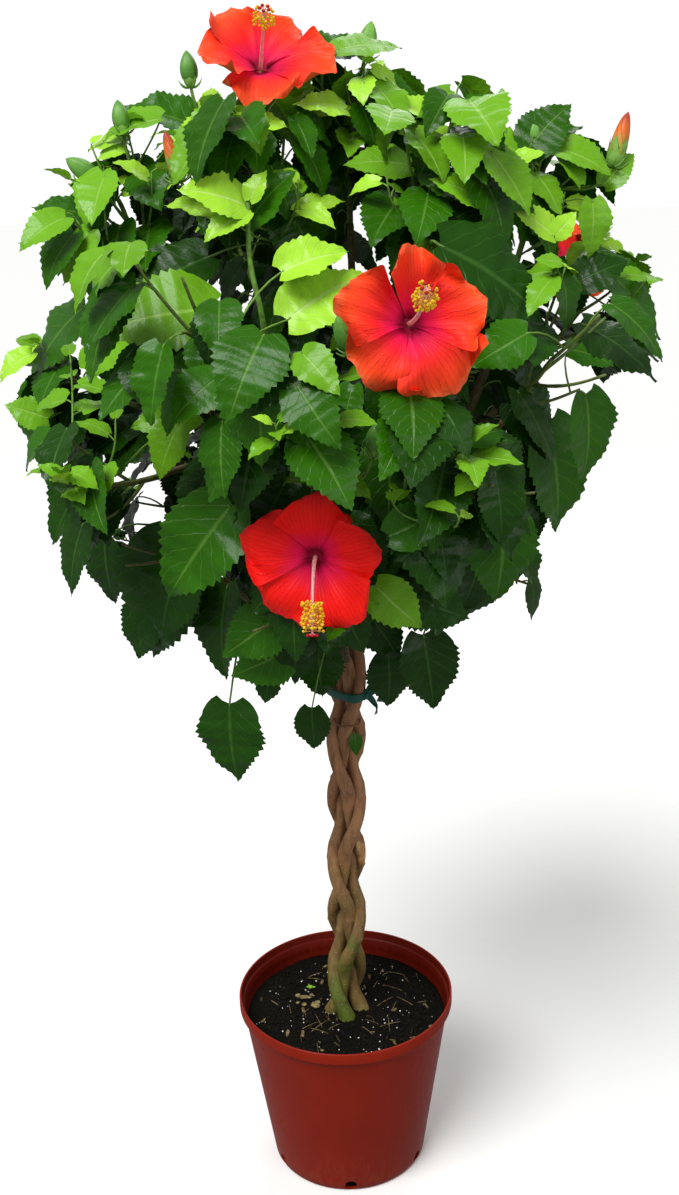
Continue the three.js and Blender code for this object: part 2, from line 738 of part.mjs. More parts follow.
function placedSpur(kind, at, facing, size, twigs) {
  const way = aim(facing);
  const foot = plus(vec(...at), way, kind === "blossom" ? -0.3 * size : 0);
  const m = massNearest(vec(...at));
  const { at: from } = spurRoot(m, twigs, plus(foot, way, -30));
  const middle = plus(foot, way, -Math.min(50, foot.distanceTo(from) * 0.5));
  return { m, points: curve(from, middle, foot, 3), radii: [1.5, 1.3] };
}

function spoke(centre, facing, radius, height, angle) {
  const [a, b] = pairAcross(facing, sideways(facing));
  return plus(plus(plus(centre, a, radius * Math.cos(angle)), b, radius * Math.sin(angle)), facing, height);
}

// Five petals as one lobed dish, with the stamen column standing out of its throat.
function blossomSolid(at, facing, size) {
  const centre = vec(...at);
  const way = aim(facing);
  const lobe = (t) => 0.8 + 0.2 * Math.abs(Math.cos(2.5 * t)) ** 0.6;
  const dish = (r, h, lobed) => ringOf(15, (t) => spoke(centre, way, r * (lobed ? lobe(t) : 1), h, t));
  const petals = solidThrough([
    [plus(centre, way, -0.34 * size)],
    dish(0.16 * size, -0.3 * size, false),
    dish(size, 0, true),
    dish(0.5 * size, -0.06 * size, false),
    [plus(centre, way, -0.26 * size)],
  ]);
  const column = [-0.3, 0.6, 0.9, 0.95];
  const thick = [1.6, 1.6, 5, 3];
  return petals.add(solidThrough(column.map((h, i) => ringOf(4, (t) => spoke(centre, way, thick[i], h * size, t)))));
}

function budSolid(at, facing, size) {
  const foot = vec(...at);
  const way = aim(facing);
  const girth = [[0.19, 0.25], [0.15, 0.65]];
  const rings = girth.map(([r, h]) => ringOf(5, (t) => spoke(foot, way, r * size, h * size, t)));
  return solidThrough([[plus(foot, way, -1)], ...rings, [plus(foot, way, size)]]);
}

// A leaf's skin: a three-sided stalk opening into a blade folded along its middle; its root ring is open.
function leafSkin({ root, normal, blade }) {
  const [base, left, tip, right, middle] = blade;
  const way = unit(plus(base, root, -1));
  const turn = mixed([way, 1], [unit(plus(middle, base, -1)), 1]);
  const atBase = pairAcross(turn, plus(normal, sideways(turn), 0.01));
  const atRoot = pairAcross(way, atBase[0]);
  const ring = (p, [a, b], r) => ringOf(3, (t) => plus(plus(p, a, r * Math.cos(t)), b, r * Math.sin(t)));
  const points = [...ring(root, atRoot, STALK_RADIUS), ...ring(base, atBase, LEAF_THICK), right, left, tip];
  const stalk = [[0, 1, 4], [0, 4, 3], [1, 2, 5], [1, 5, 4], [2, 0, 3], [2, 3, 5]];
  const face = [[3, 4, 6], [3, 6, 8], [3, 8, 7], [3, 7, 5]];
  const back = [[4, 5, 7], [4, 7, 8], [4, 8, 6]];
  return { points, faces: [...stalk, ...face, ...back] };
}

// The whole plant: twigs first, then what has its own place, then leaves wherever there is room

function grown() {
  const twigs = MASSES.flatMap((_, m) => massTwigs(m));
  const twigLines = twigs.flatMap(({ points }) => points.slice(1).map((p, k) => [points[k], p]));
  const leaves = [];
  for (const [, at, facing, size] of PLACED.filter(([kind]) => kind === "leaf")) {
    const leaf = [0, 10, 20, 30, 40]
      .map((push) => placedLeaf(at, facing, size, push, twigs))
      .find((tried) => hasRoom(tried, leaves, twigLines, 9));
    if (!leaf) throw new Error("no room for the leaf at " + at);
    leaves.push(leaf);
  }
  twigs.forEach(({ m, points }, t) => {
    const length = points.slice(1).reduce((sum, p, k) => sum + p.distanceTo(points[k]), 0);
    const count = Math.floor(length / LEAF_STEP) + 1;
    for (let c = 0; c < count; c++) {
      const share = (c + 0.6) / count;
      const [p, along] = pointAlong(points, share);
      for (let attempt = 0; attempt < LEAF_TRIES; attempt++) {
        const leaf = { ...leafAt(p, along, t * 16 + c, m, attempt, share), along, twig: t };
        if (!hasRoom(leaf, leaves, twigLines, 1.02)) continue;
        leaves.push(leaf);
        break;
      }
    }
  });
  const features = PLACED.filter(([kind]) => kind !== "leaf").map(([kind, at, facing, size]) => {
    const spur = placedSpur(kind, at, facing, size, twigs);
    const made = kind === "blossom" ? blossomSolid(at, facing, size) : budSolid(at, facing, size);
    return { m: spur.m, spur, kind, solids: [limb(spur.points, spur.radii, 3), made] };
  });
  return { twigs, leaves, features };
}

function crosses(one, other) {
  const a = one.boundingBox();
  const b = other.boundingBox();
  const clear = [0, 1, 2].some((i) => a.min[i] > b.max[i] || b.min[i] > a.max[i]);
  return !clear && one.intersect(other).volume() > TOUCHING;
}

// One mass as a single skin: its stem, then the twigs and the leaves set into it wherever they clear the rest.
function massSolid(m, { twigs, leaves, features }, limbs) {
  const near = limbs.filter(({ name }) => name !== MASSES[m][0]).map(({ solid }) => solid);
  const [main, ...side] = twigs.filter((twig) => twig.m === m);
  const body = skinThrough(limbRings(main.points, main.radii, 3));
  const solids = [...near, limb(main.points, main.radii, 3)];
  const set = (skin, from, way, along) => {
    const solid = setAlong(body, skin, from, way, along, solids);
    if (solid) solids.push(solid);
  };
  for (const { points, radii, way, along } of side) {
    set(skinThrough(limbRings(points, radii, 3), true), points[0], way, along);
  }
  for (const leaf of leaves.filter((item) => item.m === m)) {
    set(leafSkin(leaf), leaf.root, unit(plus(leaf.blade[0], leaf.root, -1)), leaf.along);
  }
  const flowers = features.filter((item) => item.m === m).flatMap((item) => item.solids);
  return largest(wasm.Manifold.union([solidOf(body), ...flowers]));
}

// Meshes

function meshOf(name, solid, colour, roughness) {
  const { vertProperties, triVerts, numProp } = solid.getMesh();
  const geometry = new THREE.BufferGeometry();
  const positions = new THREE.InterleavedBuffer(vertProperties, numProp);
  geometry.setAttribute("position", new THREE.InterleavedBufferAttribute(positions, 3, 0));
  geometry.setIndex(new THREE.BufferAttribute(triVerts, 1));
  const flat = geometry.toNonIndexed();
  flat.computeVertexNormals();
  const material = new THREE.MeshStandardMaterial({ color: colour, roughness, metalness: 0 });
  const mesh = new THREE.Mesh(flat, material);
  mesh.name = name;
  return mesh;
}

// Every stem and bough, grown by the clearance.
function clearLimbs() {
  const stems = Array.from({ length: STEMS }, (_, k) => ({ solid: stem(k, GAP) }));
  const grownBoughs = [...boughs.values()].map(({ name, points, radii: [r0, r1] }) => {
    return { name, solid: limb(points, [r0 + GAP, r1 + GAP], 6) };
  });
  return [...stems, ...grownBoughs];
}

function stemMeshes() {
  const cutters = wasm.Manifold.union([stem(0, GAP), stem(2, GAP)]);
  return Array.from({ length: STEMS }, (_, k) => {
    const whole = k % 2 === 0 ? stem(k) : largest(stem(k).subtract(cutters));
    return meshOf("stem_" + (k + 1), whole, COLOURS.stem, 0.75);
  });
}

// Each bough is cut where it meets its stem, its parent or a neighbour, a hair's breadth clear.
function boughMeshes(limbs) {
  return [...boughs.values()].map(({ name, points, radii }, i) => {
    const taken = wasm.Manifold.union(limbs.slice(0, STEMS + i).map(({ solid }) => solid));
    return meshOf("bough_" + name, largest(limb(points, radii, 6).subtract(taken)), COLOURS.bough, 0.75);
  });
}

const plant = grown();
const limbs = clearLimbs();
const group = new THREE.Group();
group.name = "hibiscus_standard";
group.add(meshOf("pot", pot(), COLOURS.pot, 0.45));
group.add(meshOf("soil", soil(), COLOURS.soil, 0.95));
group.add(meshOf("tie_band", tie(limbs), COLOURS.tie, 0.5));
group.add(...stemMeshes());
group.add(...boughMeshes(limbs));
MASSES.forEach(([name], m) => group.add(meshOf("mass_" + name, massSolid(m, plant, limbs), COLOURS.mass, 0.5)));

export default group;
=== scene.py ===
"""Hibiscus trained as a standard: four plaited stems in a nursery pot under a leafy crown in flower.

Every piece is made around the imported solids, Z up, -Y towards the front. The rule by which the plant grows is
worked in millimetres, and meshes are made from it in metres.
"""

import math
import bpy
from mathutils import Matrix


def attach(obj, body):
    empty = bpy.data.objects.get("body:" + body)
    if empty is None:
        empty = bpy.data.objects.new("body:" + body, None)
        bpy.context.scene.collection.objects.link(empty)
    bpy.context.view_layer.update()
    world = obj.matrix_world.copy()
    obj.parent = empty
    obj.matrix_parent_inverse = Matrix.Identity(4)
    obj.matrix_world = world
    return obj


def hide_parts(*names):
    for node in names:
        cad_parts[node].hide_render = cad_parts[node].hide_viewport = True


bl_info = {
    "name": "Hibiscus standard",
    "version": (1, 0, 0),
    "blender": (4, 5, 0),
    "location": "View3D > Sidebar > Hibiscus",
    "description": "Makes a potted hibiscus standard in leaf and flower around its packed solids",
    "category": "Add Mesh",
}

import bmesh
import bpy
import numpy as np
from mathutils import Matrix, Vector, noise

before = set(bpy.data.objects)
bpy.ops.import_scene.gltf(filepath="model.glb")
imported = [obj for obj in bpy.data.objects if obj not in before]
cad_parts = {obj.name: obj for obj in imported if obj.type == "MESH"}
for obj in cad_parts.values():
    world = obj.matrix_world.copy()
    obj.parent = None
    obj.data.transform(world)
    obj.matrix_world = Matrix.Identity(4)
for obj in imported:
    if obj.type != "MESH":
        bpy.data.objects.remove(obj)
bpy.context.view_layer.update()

MM = 0.001

# Camera
CAMERA_PLACE = (0.0063, -1.4, 1.189)
CAMERA_PITCH = 18.8
CAMERA_ROLL = math.radians(-1.65)
CAMERA_LENS = 41.15

# Light and floor: the key light's spread in degrees and its direction, the point that the soft lights face
KEY_ANGLE = 34
KEY_DIRECTION = (0.42, 0.55, -1.0)
LIT_POINT = (0, 0, 0.8)
FLOOR_REACH = 20000
SQUARE = ((-1, -1), (1, -1), (1, 1), (-1, 1))

# Pot and growing mix, in millimetres
POT_HEIGHT = 218
POT_RIM_RADIUS = 127
POT_FOOT_RADIUS = 92
POT_WALL = 2.6
POT_FLOOR = 3.5
POT_SIDES = 128
RIM_BAND_HEIGHT = 14
RIM_STEP = 4.5
DRAIN_HOLES = 6
DRAIN_RADIUS = 7
BAND_FOOT = POT_HEIGHT - RIM_BAND_HEIGHT
WALL_RIPPLE = 0.35
DRAIN_LIFT = 1.5
DRILL_LENGTH = 14
SOIL_TOP = 190
SOIL_RINGS = 44
SOIL_SIDES = 96
MOUND_HEIGHT = 2.2
MOUND_RADIUS = 34
GRIT_REACH = 109
WOOD_CHIPS = 12
STRAWS = 22
SPROUT_LEAVES = 7
# Lumps of the mix: seed, how often they come in a millimetre, and height
SOIL_LUMPS = ((3, 0.03, 3.2), (8, 0.14, 1.7), (1, 0.5, 0.8))
GAP = 0.3

# Plaited stems
STEMS = 4
STEM_FOOT_RADIUS = 8.9
STEM_TOP_RADIUS = 7.6
STEM_FLARE = 1.6
STEM_PRESSED = 0.72
PLAIT_RADIUS = 12.5
PLAIT_SWING = 6
PLAIT_TURN = 300
PLAIT_PHASE = math.pi / 4
PLAIT_FOOT_X = 1
PLAIT_LEAN = 12
FORK_Z = 700
FORK_SPREAD = 12
STEM_STEPS = 17
STEM_RINGS = 190
STEM_SIDES = 26
TIE_Z = 602.5
TIE_HALF_LONG = 24.2
TIE_HALF_SHORT = 13.2
TAPE_WIDTH = 9.5
TAIL_WIDTH = 8.5
KNOT_RADIUS = 5.2
KNOT_OFF_CENTRE = (21, -13, 0)
WIRE_BELOW_TAPE = 31
WIRE_RADIUS = 1.3
WIRE_ENDS = (((7, -5, 1), (13, -4, -4)), ((6, -8, 3), (12, -9, 5)))
TIE_TAILS = (
    ((5, 1, 9), (11, 2, 20), (16, 3, 25), (14, 5, 13)),
    ((6, 0, 3), (14, 1, 8), (19, 2, 1), (15, 2, -9)),
    ((5, 0, -3), (9, 0, -9), (12, -1, -15), (11, -2, -22)),
)
SCAR_STEM = 1
SCAR_HEIGHT, SCAR_HALF_LENGTH, SCAR_HALF_WIDTH = 400, 24, 8

# Boughs: radius at the root and at the tip
LEADER_RADII = (7.2, 3.4)
BOUGH_RADII = (4.6, 3)
MASS_STEM_IN = 78
MASS_STEM_LENGTH = 92

# Twigs and leaves of the masses
TWIGS = 5
TWIG_LENGTH = (66, 118)
MAIN_RADII = (3.2, 2.1)
TWIG_RADII = (1.9, 1.2)
LEAF_STEP = 19
LEAF_TRIES = 8
GOLDEN_ANGLE = math.radians(137.5)
# Painted light and shade: leaves are given lighter colours from this height up, over this many millimetres, as
# if lit from above and through, and darker ones below it, as if shaded
SHADED_BELOW = 760
LIGHTER_OVER = 470
# Leaf colour groups and the tone that each reaches up to; the tone is partly a leaf's age and partly painted
# light and shade from where it hangs
LEAF_TONES = (("deep", 0.3), ("mature", 0.56), ("fresh", 0.8), ("young", 9.0))
LEAF_LENGTH = (76, 108)
CROWN_CENTRE = np.array([10.0, 0.0, 930.0])
CROWN_REACH = {"x": 334, "y": 330, "up": 352, "down": 278, "down_right": 240}
CROWN_POWER = 2.4

# Each mass: its heart, and where its bough leaves, which is a height on the nearest stem,
# a stem's own tip, or a share of the way along another bough
MASSES = [
    ("high_right", (212, 0, 1125), ("tip", 1)),
    ("top", (30, 20, 1180), ("tip", 2)),
    ("high_left", (-185, -15, 1115), ("tip", 3)),
    ("top_front_right", (105, -70, 1115), ("tip", 0)),
    ("top_front_left", (-62, -50, 1160), ("top", 0.45)),
    ("high_back_left", (-95, 130, 1100), ("top", 0.28)),
    ("high_back_right", (115, 140, 1085), ("top", 0.36)),
    ("front_left", (-105, -190, 1035), ("high_left", 0.3)),
    ("front_right", (75, -230, 1010), ("top_front_right", 0.32)),
    ("right_front", (195, -130, 988), ("high_right", 0.3)),
    ("right", (240, 30, 1005), ("high_right", 0.42)),
    ("back_right", (150, 195, 955), ("high_right", 0.16)),
    ("back", (-5, 245, 945), ("top", 0.14)),
    ("back_left", (-175, 180, 935), ("high_left", 0.2)),
    ("left", (-248, 15, 980), ("high_left", 0.5)),
    ("left_front", (-205, -140, 915), ("high_left", 0.4)),
    ("front", (-30, -235, 965), ("top_front_right", 0.1)),
    ("front_low_right", (110, -195, 890), ("top_front_right", 0.2)),
    ("inner_front", (20, -80, 940), ("top_front_right", 0.42)),
    ("low_front", (-20, -190, 812), ("z", 672)),
    ("low_front_right", (105, -110, 805), ("z", 664)),
    ("low_right", (128, 75, 822), ("z", 682)),
    ("low_back", (10, 180, 800), ("z", 668)),
    ("low_left", (-150, 70, 805), ("z", 684)),
    ("low_front_left", (-120, -105, 800), ("z", 660)),
    ("inner_low", (8, -55, 792), ("z", 640)),
]

# Blossom, buds and single leaves that have a place of their own: kind, centre, facing (azimuth and
# elevation in degrees) and size, which is a radius for blossom and a length for the others
PLACED = [
    ("blossom", (-51, -40, 1262), (-80, 46), 62),
    ("blossom", (73, -280, 1042), (-82, 12), 63),
    ("blossom", (-16, -245, 830), (-95, 5), 61),
    ("blossom", (105, 300, 966), (75, 20), 61),
    ("blossom", (275, 150, 1046), (50, 12), 54),
    ("blossom", (-150, 245, 900), (125, 8), 58),
    ("leaf", (-108, -125, 645), (-110, -80), 92),
    ("leaf", (-24, -62, 632), (-90, -86), 54),
    ("leaf", (90, -105, 706), (-50, -76), 86),
    ("leaf", (268, -5, 1062), (-8, -36), 110),
    ("leaf", (228, -98, 945), (-24, -78), 92),
    ("leaf", (-50, -262, 1012), (-90, -70), 92),
    ("leaf", (-240, -5, 1032), (182, -38), 108),
    ("leaf", (-262, -20, 950), (190, -28), 84),
    ("leaf", (-150, -30, 1205), (178, -5), 62),
    ("leaf", (18, -25, 1262), (12, 14), 66),
    ("leaf", (190, 0, 1165), (5, 30), 75),
    ("bud", (-186, -30, 1192), (120, 75), 34),
    ("bud", (-212, -20, 1150), (185, 35), 40),
    ("bud", (-270, 0, 1112), (150, 60), 22),
    ("bud", (-118, -45, 1232), (120, 80), 34),
    ("bud", (-128, -90, 1150), (150, 72), 48),
    ("bud", (283, -10, 1150), (20, 72), 54),
    ("bud", (205, -15, 1172), (60, 75), 26),
    ("bud", (176, -10, 1200), (90, 80), 26),
    ("bud", (38, -255, 925), (-40, 80), 32),
    ("bud", (68, -248, 908), (-20, 60), 32),
    ("bud", (24, -265, 1015), (-140, 62), 38),
    ("bud", (45, 10, 1255), (30, 75), 36),
]

# Young shoots that have a place of their own: tip, number of leaves and length of the largest
SHOOTS = [
    ((-84, -128, 1140), 8, 60),
    ((8, -262, 918), 6, 46),
    ((52, -262, 898), 7, 50),
    ((-193, -170, 944), 6, 44),
    ((-240, -110, 995), 6, 46),
    ((173, -30, 1165), 7, 50),
    ((238, -10, 1128), 7, 52),
    ((77, -25, 1212), 7, 50),
    ((118, -45, 1178), 7, 52),
    ((26, -10, 1248), 5, 48),
    ((-158, -62, 1158), 7, 50),
    ((-205, -60, 1128), 6, 48),
    ((134, -118, 1110), 7, 52),
    ((-20, -110, 1150), 6, 48),
    ((60, -105, 1150), 6, 48),
]
# Leaves that show their face at the front: base, tip, and how light each one is coloured, which is partly the
# leaf's own colour and partly painted light and shade, dark for low and inner leaves and light for high and
# outer ones
FACE_LEAVES = [
    ((-66, -135, 1129), (-116, -160, 1155), 0.9),
    ((-65, -125, 1115), (-30, -135, 1163), 0.45),
    ((-63, -140, 1134), (-51, -140, 1161), 0.95),
    ((-67, -140, 1123), (-102, -165, 1110), 0.9),
    ((-99, -150, 1041), (-199, -185, 1046), 0.7),
    ((-108, -80, 1081), (-191, -110, 1055), 0.1),
    ((-233, -60, 975), (-193, -70, 1024), 0.75),
    ((-281, -40, 925), (-320, -48, 944), 0.6),
    ((-123, -130, 944), (-181, -150, 943), 0.7),
    ((-106, -100, 982), (-83, -120, 928), 0.15),
    ((-137, -150, 938), (-166, -165, 893), 0.6),
    ((-33, -150, 1030), (35, -140, 1078), 0.8),
    ((-37, -145, 1072), (20, -140, 1098), 0.85),
    ((-92, -160, 862), (-163, -180, 781), 0.4),
    ((-156, -80, 806), (-209, -90, 677), 0.15),
    ((-148, -110, 794), (-187, -125, 716), 0.2),
    ((-48, -190, 764), (-106, -205, 724), 0.5),
    ((-41, -165, 716), (-102, -175, 693), 0.35),
    ((-64, -150, 686), (-71, -155, 654), 0.2),
    ((40, -190, 788), (81, -205, 747), 0.6),
    ((65, -150, 769), (131, -165, 740), 0.15),
    ((56, -60, 667), (59, -65, 604), 0.1),
    ((-18, -40, 679), (-16, -45, 607), 0.1),
    ((53, -215, 843), (106, -215, 866), 0.55),
    ((103, -170, 1093), (208, -180, 1046), 0.2),
    ((98, -120, 1101), (147, -120, 1131), 0.1),
    ((155, -60, 1122), (112, -70, 1153), 0.8),
    ((194, -20, 1164), (147, -30, 1192), 0.7),
    ((197, -20, 1166), (236, -20, 1216), 0.6),
    ((249, -30, 1135), (231, -30, 1167), 0.65),
    ((215, -90, 1092), (182, -100, 1124), 0.85),
    ((216, -90, 1092), (234, -95, 1114), 0.8),
    ((245, -40, 1043), (295, -45, 1068), 0.15),
    ((259, -40, 1121), (265, -50, 1068), 0.55),
    ((276, -10, 1133), (304, -10, 1165), 0.6),
    ((177, -200, 1019), (127, -215, 998), 0.45),
    ((196, -60, 881), (227, -65, 811), 0.1),
    ((219, -45, 906), (253, -53, 792), 0.35),
    ((237, -60, 982), (283, -70, 976), 0.4),
    ((165, -140, 839), (169, -145, 747), 0.3),
    ((156, -110, 820), (136, -115, 722), 0.1),
    ((-119, 20, 1197), (-187, 10, 1231), 0.45),
    ((-227, 0, 1116), (-279, -10, 1139), 0.5),
    ((-17, 10, 1256), (53, 10, 1281), 0.55),
    ((25, -40, 1209), (-17, -60, 1225), 0.8),
    ((106, -20, 1198), (72, -30, 1225), 0.85),
    ((84, -60, 1158), (28, -80, 1173), 0.7),
    ((129, -30, 1170), (100, -40, 1198), 0.9),
    ((-81, 40, 1066), (-116, 32, 1029), 0.12),
    ((-101, 40, 1009), (-78, 32, 964), 0.12),
    ((23, 60, 1087), (63, 52, 1056), 0.1),
    ((16, 70, 1109), (6, 62, 1061), 0.1),
    ((39, -90, 720), (68, -98, 674), 0.1),
    ((-190, -60, 736), (-215, -68, 671), 0.15),
    ((-237, -30, 793), (-242, -38, 721), 0.15),
    ((165, -30, 765), (140, -38, 683), 0.15),
]
# Where a viewer in front sees the sky through the crown: x, z, and a radius round that line of sight
OPEN_SKY = [
    (311, 914, 39),
    (241, 944, 25),
    (277, 791, 21),
    (243, 723, 22),
    (-339, 842, 27),
    (-320, 762, 26),
    (-206, 903, 17),
    (-144, 899, 14),
    (-173, 821, 18),
    (-221, 762, 13),
    (-121, 653, 15),
    (161, 679, 22),
    (138, 1240, 29),
    (-237, 1178, 14),
    (340, 876, 31),
    (324, 1084, 18),
    (-298, 1120, 14),
    (-311, 816, 30),
    (-278, 796, 18),
    (-194, 793, 23),
    (-135, 896, 17),
    (-218, 974, 17),
    (-192, 1106, 18),
    (276, 1009, 29),
    (328, 968, 18),
    (252, 918, 23),
    (241, 780, 28),
    (158, 939, 14),
    (162, 815, 13),
    (-150, 1208, 14),
    (245, 1186, 14),
    (-109, 699, 14),
    (-34, 621, 13),
    (-28, 1178, 11),
]
EYE = np.array([6.3, -1400.0, 1189.0])
TURN_BELOW = 0.42
GREEN_STEMS = [
    (((-52, -118, 962), (-56, -150, 1031), (-65, -148, 1083), (-65, -136, 1136)), (3.0, 1.9)),
]

TIP_SHOOT_LENGTH = (22, 40)
TIP_LEAF_LENGTH = (30, 52)

MASS_NODES = ["mass_" + name for name, _, _ in MASSES]


# Vectors and seeded numbers


def vec(x, y, z):
    return np.array([x, y, z], float)


UP = vec(0, 0, 1)


def length_of(v):
    return math.sqrt(float(v @ v))


def unit(v):
    return v / length_of(v)


def mixed(*pairs):
    return unit(sum(v * share for v, share in pairs))


def lerp(a, b, share):
    return a + (b - a) * share


def aim(azimuth, elevation):
    a = math.radians(azimuth)
    e = math.radians(elevation)
    return vec(math.cos(e) * math.cos(a), math.cos(e) * math.sin(a), math.sin(e))


def draw(a, b, c=0):
    """A number from 0 to 1 that belongs to its three whole numbers."""
    mask = 0xFFFFFFFF
    h = ((a + 1) * 0x9E3779B1 ^ (b + 1) * 0x85EBCA6B ^ (c + 1) * 0xC2B2AE35) & mask
    h ^= h >> 15
    h = (h * 0x2C1B3C6D) & mask
    h ^= h >> 12
    h = (h * 0x297A2D39) & mask
    h ^= h >> 15
    return h / 4294967296


def between(limits, a, b, c=0):
    """A number between two limits that belongs to its three whole numbers."""
    low, high = limits
    return low + (high - low) * draw(a, b, c)


def pair_across(way, last):
    """Two directions across a way, a quarter turn apart, carried on from the last pair."""
    a = unit(last - way * (last @ way))
    return a, np.cross(way, a)


def sideways(way):
    other = UP if abs(way[2]) < 0.95 else vec(1, 0, 0)
    return unit(np.cross(way, other))


def curve(start, middle, end, steps):
    shares = [k / steps for k in range(steps + 1)]
    return [start * (1 - t) ** 2 + middle * 2 * t * (1 - t) + end * t * t for t in shares]


def point_along(points, share):
    x = share * (len(points) - 1)
    k = min(math.floor(x), len(points) - 2)
    way = points[k + 1] - points[k]
    return points[k] + way * (x - k), unit(way)


# Plaited stems


def plait_centre(z):
    return vec(PLAIT_FOOT_X + PLAIT_LEAN * (z - SOIL_TOP) / (FORK_Z - SOIL_TOP), 0, z)


def strand(k, z):
    """Where a stem runs at a height: its angle, its distance from the plait's middle and its pressing."""
    turn = PLAIT_PHASE + 2 * math.pi * (z - SOIL_TOP) / PLAIT_TURN
    way = 1 if k % 2 == 0 else -1
    foot = max(0, 1 - (z - SOIL_TOP) / 60)
    top = max(0, (z - 620) / (FORK_Z - 620))
    angle = -math.pi / 4 + (math.pi if k >= 2 else 0) + way * turn
    out = PLAIT_RADIUS + way * PLAIT_SWING * math.cos(2 * turn) + 4 * foot * foot + FORK_SPREAD * top * top
    pressed = 1 - (1 - STEM_PRESSED) * abs(math.cos(2 * turn)) * (1 - top) * (1 - foot)
    return angle, out, pressed


def strand_point(k, z):
    angle, out, _ = strand(k, z)
    return plait_centre(z) + vec(math.cos(angle), math.sin(angle), 0) * out


def stem_top(k):
    return FORK_Z + 8 * k


def stem_heights(k):
    foot = SOIL_TOP + GAP
    return [foot + (stem_top(k) - foot) * i / STEM_STEPS for i in range(STEM_STEPS + 1)]


def stem_radius(k, z):
    share = (z - SOIL_TOP) / (stem_top(k) - SOIL_TOP)
    flare = max(0, 1 - (z - SOIL_TOP) / 25) ** 2
    return STEM_FOOT_RADIUS + (STEM_TOP_RADIUS - STEM_FOOT_RADIUS) * share + STEM_FLARE * flare


# Boughs


def stem_towards(heart, z):
    """The stem that stands furthest out towards a heart at a height."""
    middle = plait_centre(z)
    side = (heart - middle) * vec(1, 1, 0)
    return max(range(STEMS), key=lambda k: (strand_point(k, z) - middle) @ side)


def root_of(heart, source, boughs):
    kind, value = source
    if kind == "tip":
        z = stem_top(value)
        below = strand_point(value, z - 12)
        top = strand_point(value, z)
        return top + UP * GAP, unit(top - below), True
    if kind == "z":
        root = strand_point(stem_towards(heart, value), value)
        return root, mixed((unit(root - plait_centre(value)), 1), (UP, 0.6)), False
    root, way = point_along(boughs[kind]["points"], value)
    return root, way, False


def bough_of(m, boughs):
    name, _, source = MASSES[m]
    heart = HEARTS[m]
    root, way, leader = root_of(heart, source, boughs)
    straight = unit(heart - root)
    approach = mixed((straight, 1), (UP, 0.35))
    back = MASS_STEM_IN
    while back > 30 and not in_cell(m, [heart - approach * back], 5):
        back -= 6
    tip = heart - approach * back
    span = length_of(tip - root)
    level = unit(vec(straight[0], straight[1], 0.01))
    middle = lerp(root, tip, 0.4) + way * (span * 0.14) + level * (span * 0.1)
    return {
        "name": name,
        "leader": leader,
        "source": source,
        "points": curve(root, middle, tip, 5),
        "radii": LEADER_RADII if leader else BOUGH_RADII,
    }


# Spaces: the crown's reach, each mass's own cell, and clearance from limbs and blossom

HEARTS = np.array([at for _, at, _ in MASSES], float)
BLOSSOMS = [(vec(*at), aim(*facing), size) for kind, at, facing, size in PLACED if kind == "blossom"]


def crown_share(points):
    w = np.atleast_2d(points) - CROWN_CENTRE
    below = np.where(w[:, 0] > 0, CROWN_REACH["down_right"], CROWN_REACH["down"])
    tall = np.where(w[:, 2] > 0, CROWN_REACH["up"], below)
    wide = np.abs(w[:, 0] / CROWN_REACH["x"]) ** CROWN_POWER
    deep = np.abs(w[:, 1] / CROWN_REACH["y"]) ** CROWN_POWER
    return wide + deep + np.abs(w[:, 2] / tall) ** CROWN_POWER


def in_cell(m, points, margin):
    ways = np.delete(HEARTS, m, axis=0) - HEARTS[m]
    spans = np.linalg.norm(ways, axis=1)
    beyond = (np.atleast_2d(points) - HEARTS[m]) @ (ways / spans[:, None]).T - spans / 2
    return bool((beyond < -margin).all())


def outwards(p):
    return unit(p - CROWN_CENTRE)


def clear_of_blossom(points, margin):
    p = np.atleast_2d(points)
    for at, facing, size in BLOSSOMS:
        w = p - at
        ahead = w @ facing
        aside = np.sqrt(np.maximum(0, (w * w).sum(1) - ahead * ahead))
        wide = size * 0.92 + margin + np.maximum(0, ahead) * 0.12
        if not ((ahead < -22) | (ahead > 140) | (aside > wide)).all():
            return False
    return True


class Limbs:
    """The stems and boughs as short straight pieces, for finding how near a point is."""

    def __init__(self):
        self.boughs = {}
        for m in range(len(MASSES)):
            self.boughs[MASSES[m][0]] = bough_of(m, self.boughs)
        lines = []
        for k in range(STEMS):
            points = [strand_point(k, z) for z in stem_heights(k)]
            lines.append({"name": "", "points": points, "radii": (STEM_FOOT_RADIUS, STEM_TOP_RADIUS)})
        lines += self.boughs.values()
        starts, ways, radii, owners = [], [], [], []
        for line in lines:
            points = line["points"]
            r0, r1 = line["radii"]
            for k in range(len(points) - 1):
                starts.append(points[k])
                ways.append(points[k + 1] - points[k])
                radii.append(r0 + (r1 - r0) * k / (len(points) - 1))
                owners.append(line["name"])
        self.starts = np.array(starts)
        self.ways = np.array(ways)
        self.squared = (self.ways**2).sum(1)
        self.radii = np.array(radii)
        self.owners = np.array(owners)

    def clear(self, points, margin, owner=None):
        w = np.atleast_2d(points)[:, None, :] - self.starts[None]
        share = np.clip((w * self.ways).sum(2) / self.squared, 0, 1)
        away = np.linalg.norm(w - share[..., None] * self.ways, axis=2) - self.radii
        if owner is not None:
            away = away[:, self.owners != owner]
        return bool((away > margin).all())


# Twigs: each bends towards the light and stops where it would leave its space or touch a limb


def grow_twig(limbs, start, way, length, steps, rise, m, radii):
    points = [start]
    going = way
    for k in range(steps):
        at = points[-1]
        going = mixed((going, 1), (UP, 0.6 * rise), (outwards(at), 0.4 * rise))
        to = at + going * (length / steps)
        owner = MASSES[m][0] if k == 0 else None
        if not in_cell(m, [to], 6) or crown_share(to)[0] > 0.78:
            break
        if not limbs.clear(to, 5, owner) or not limbs.clear(lerp(at, to, 0.5), 4, owner):
            break
        if not clear_of_blossom(to, 6):
            break
        points.append(to)
    return {"m": m, "points": points, "radii": radii}


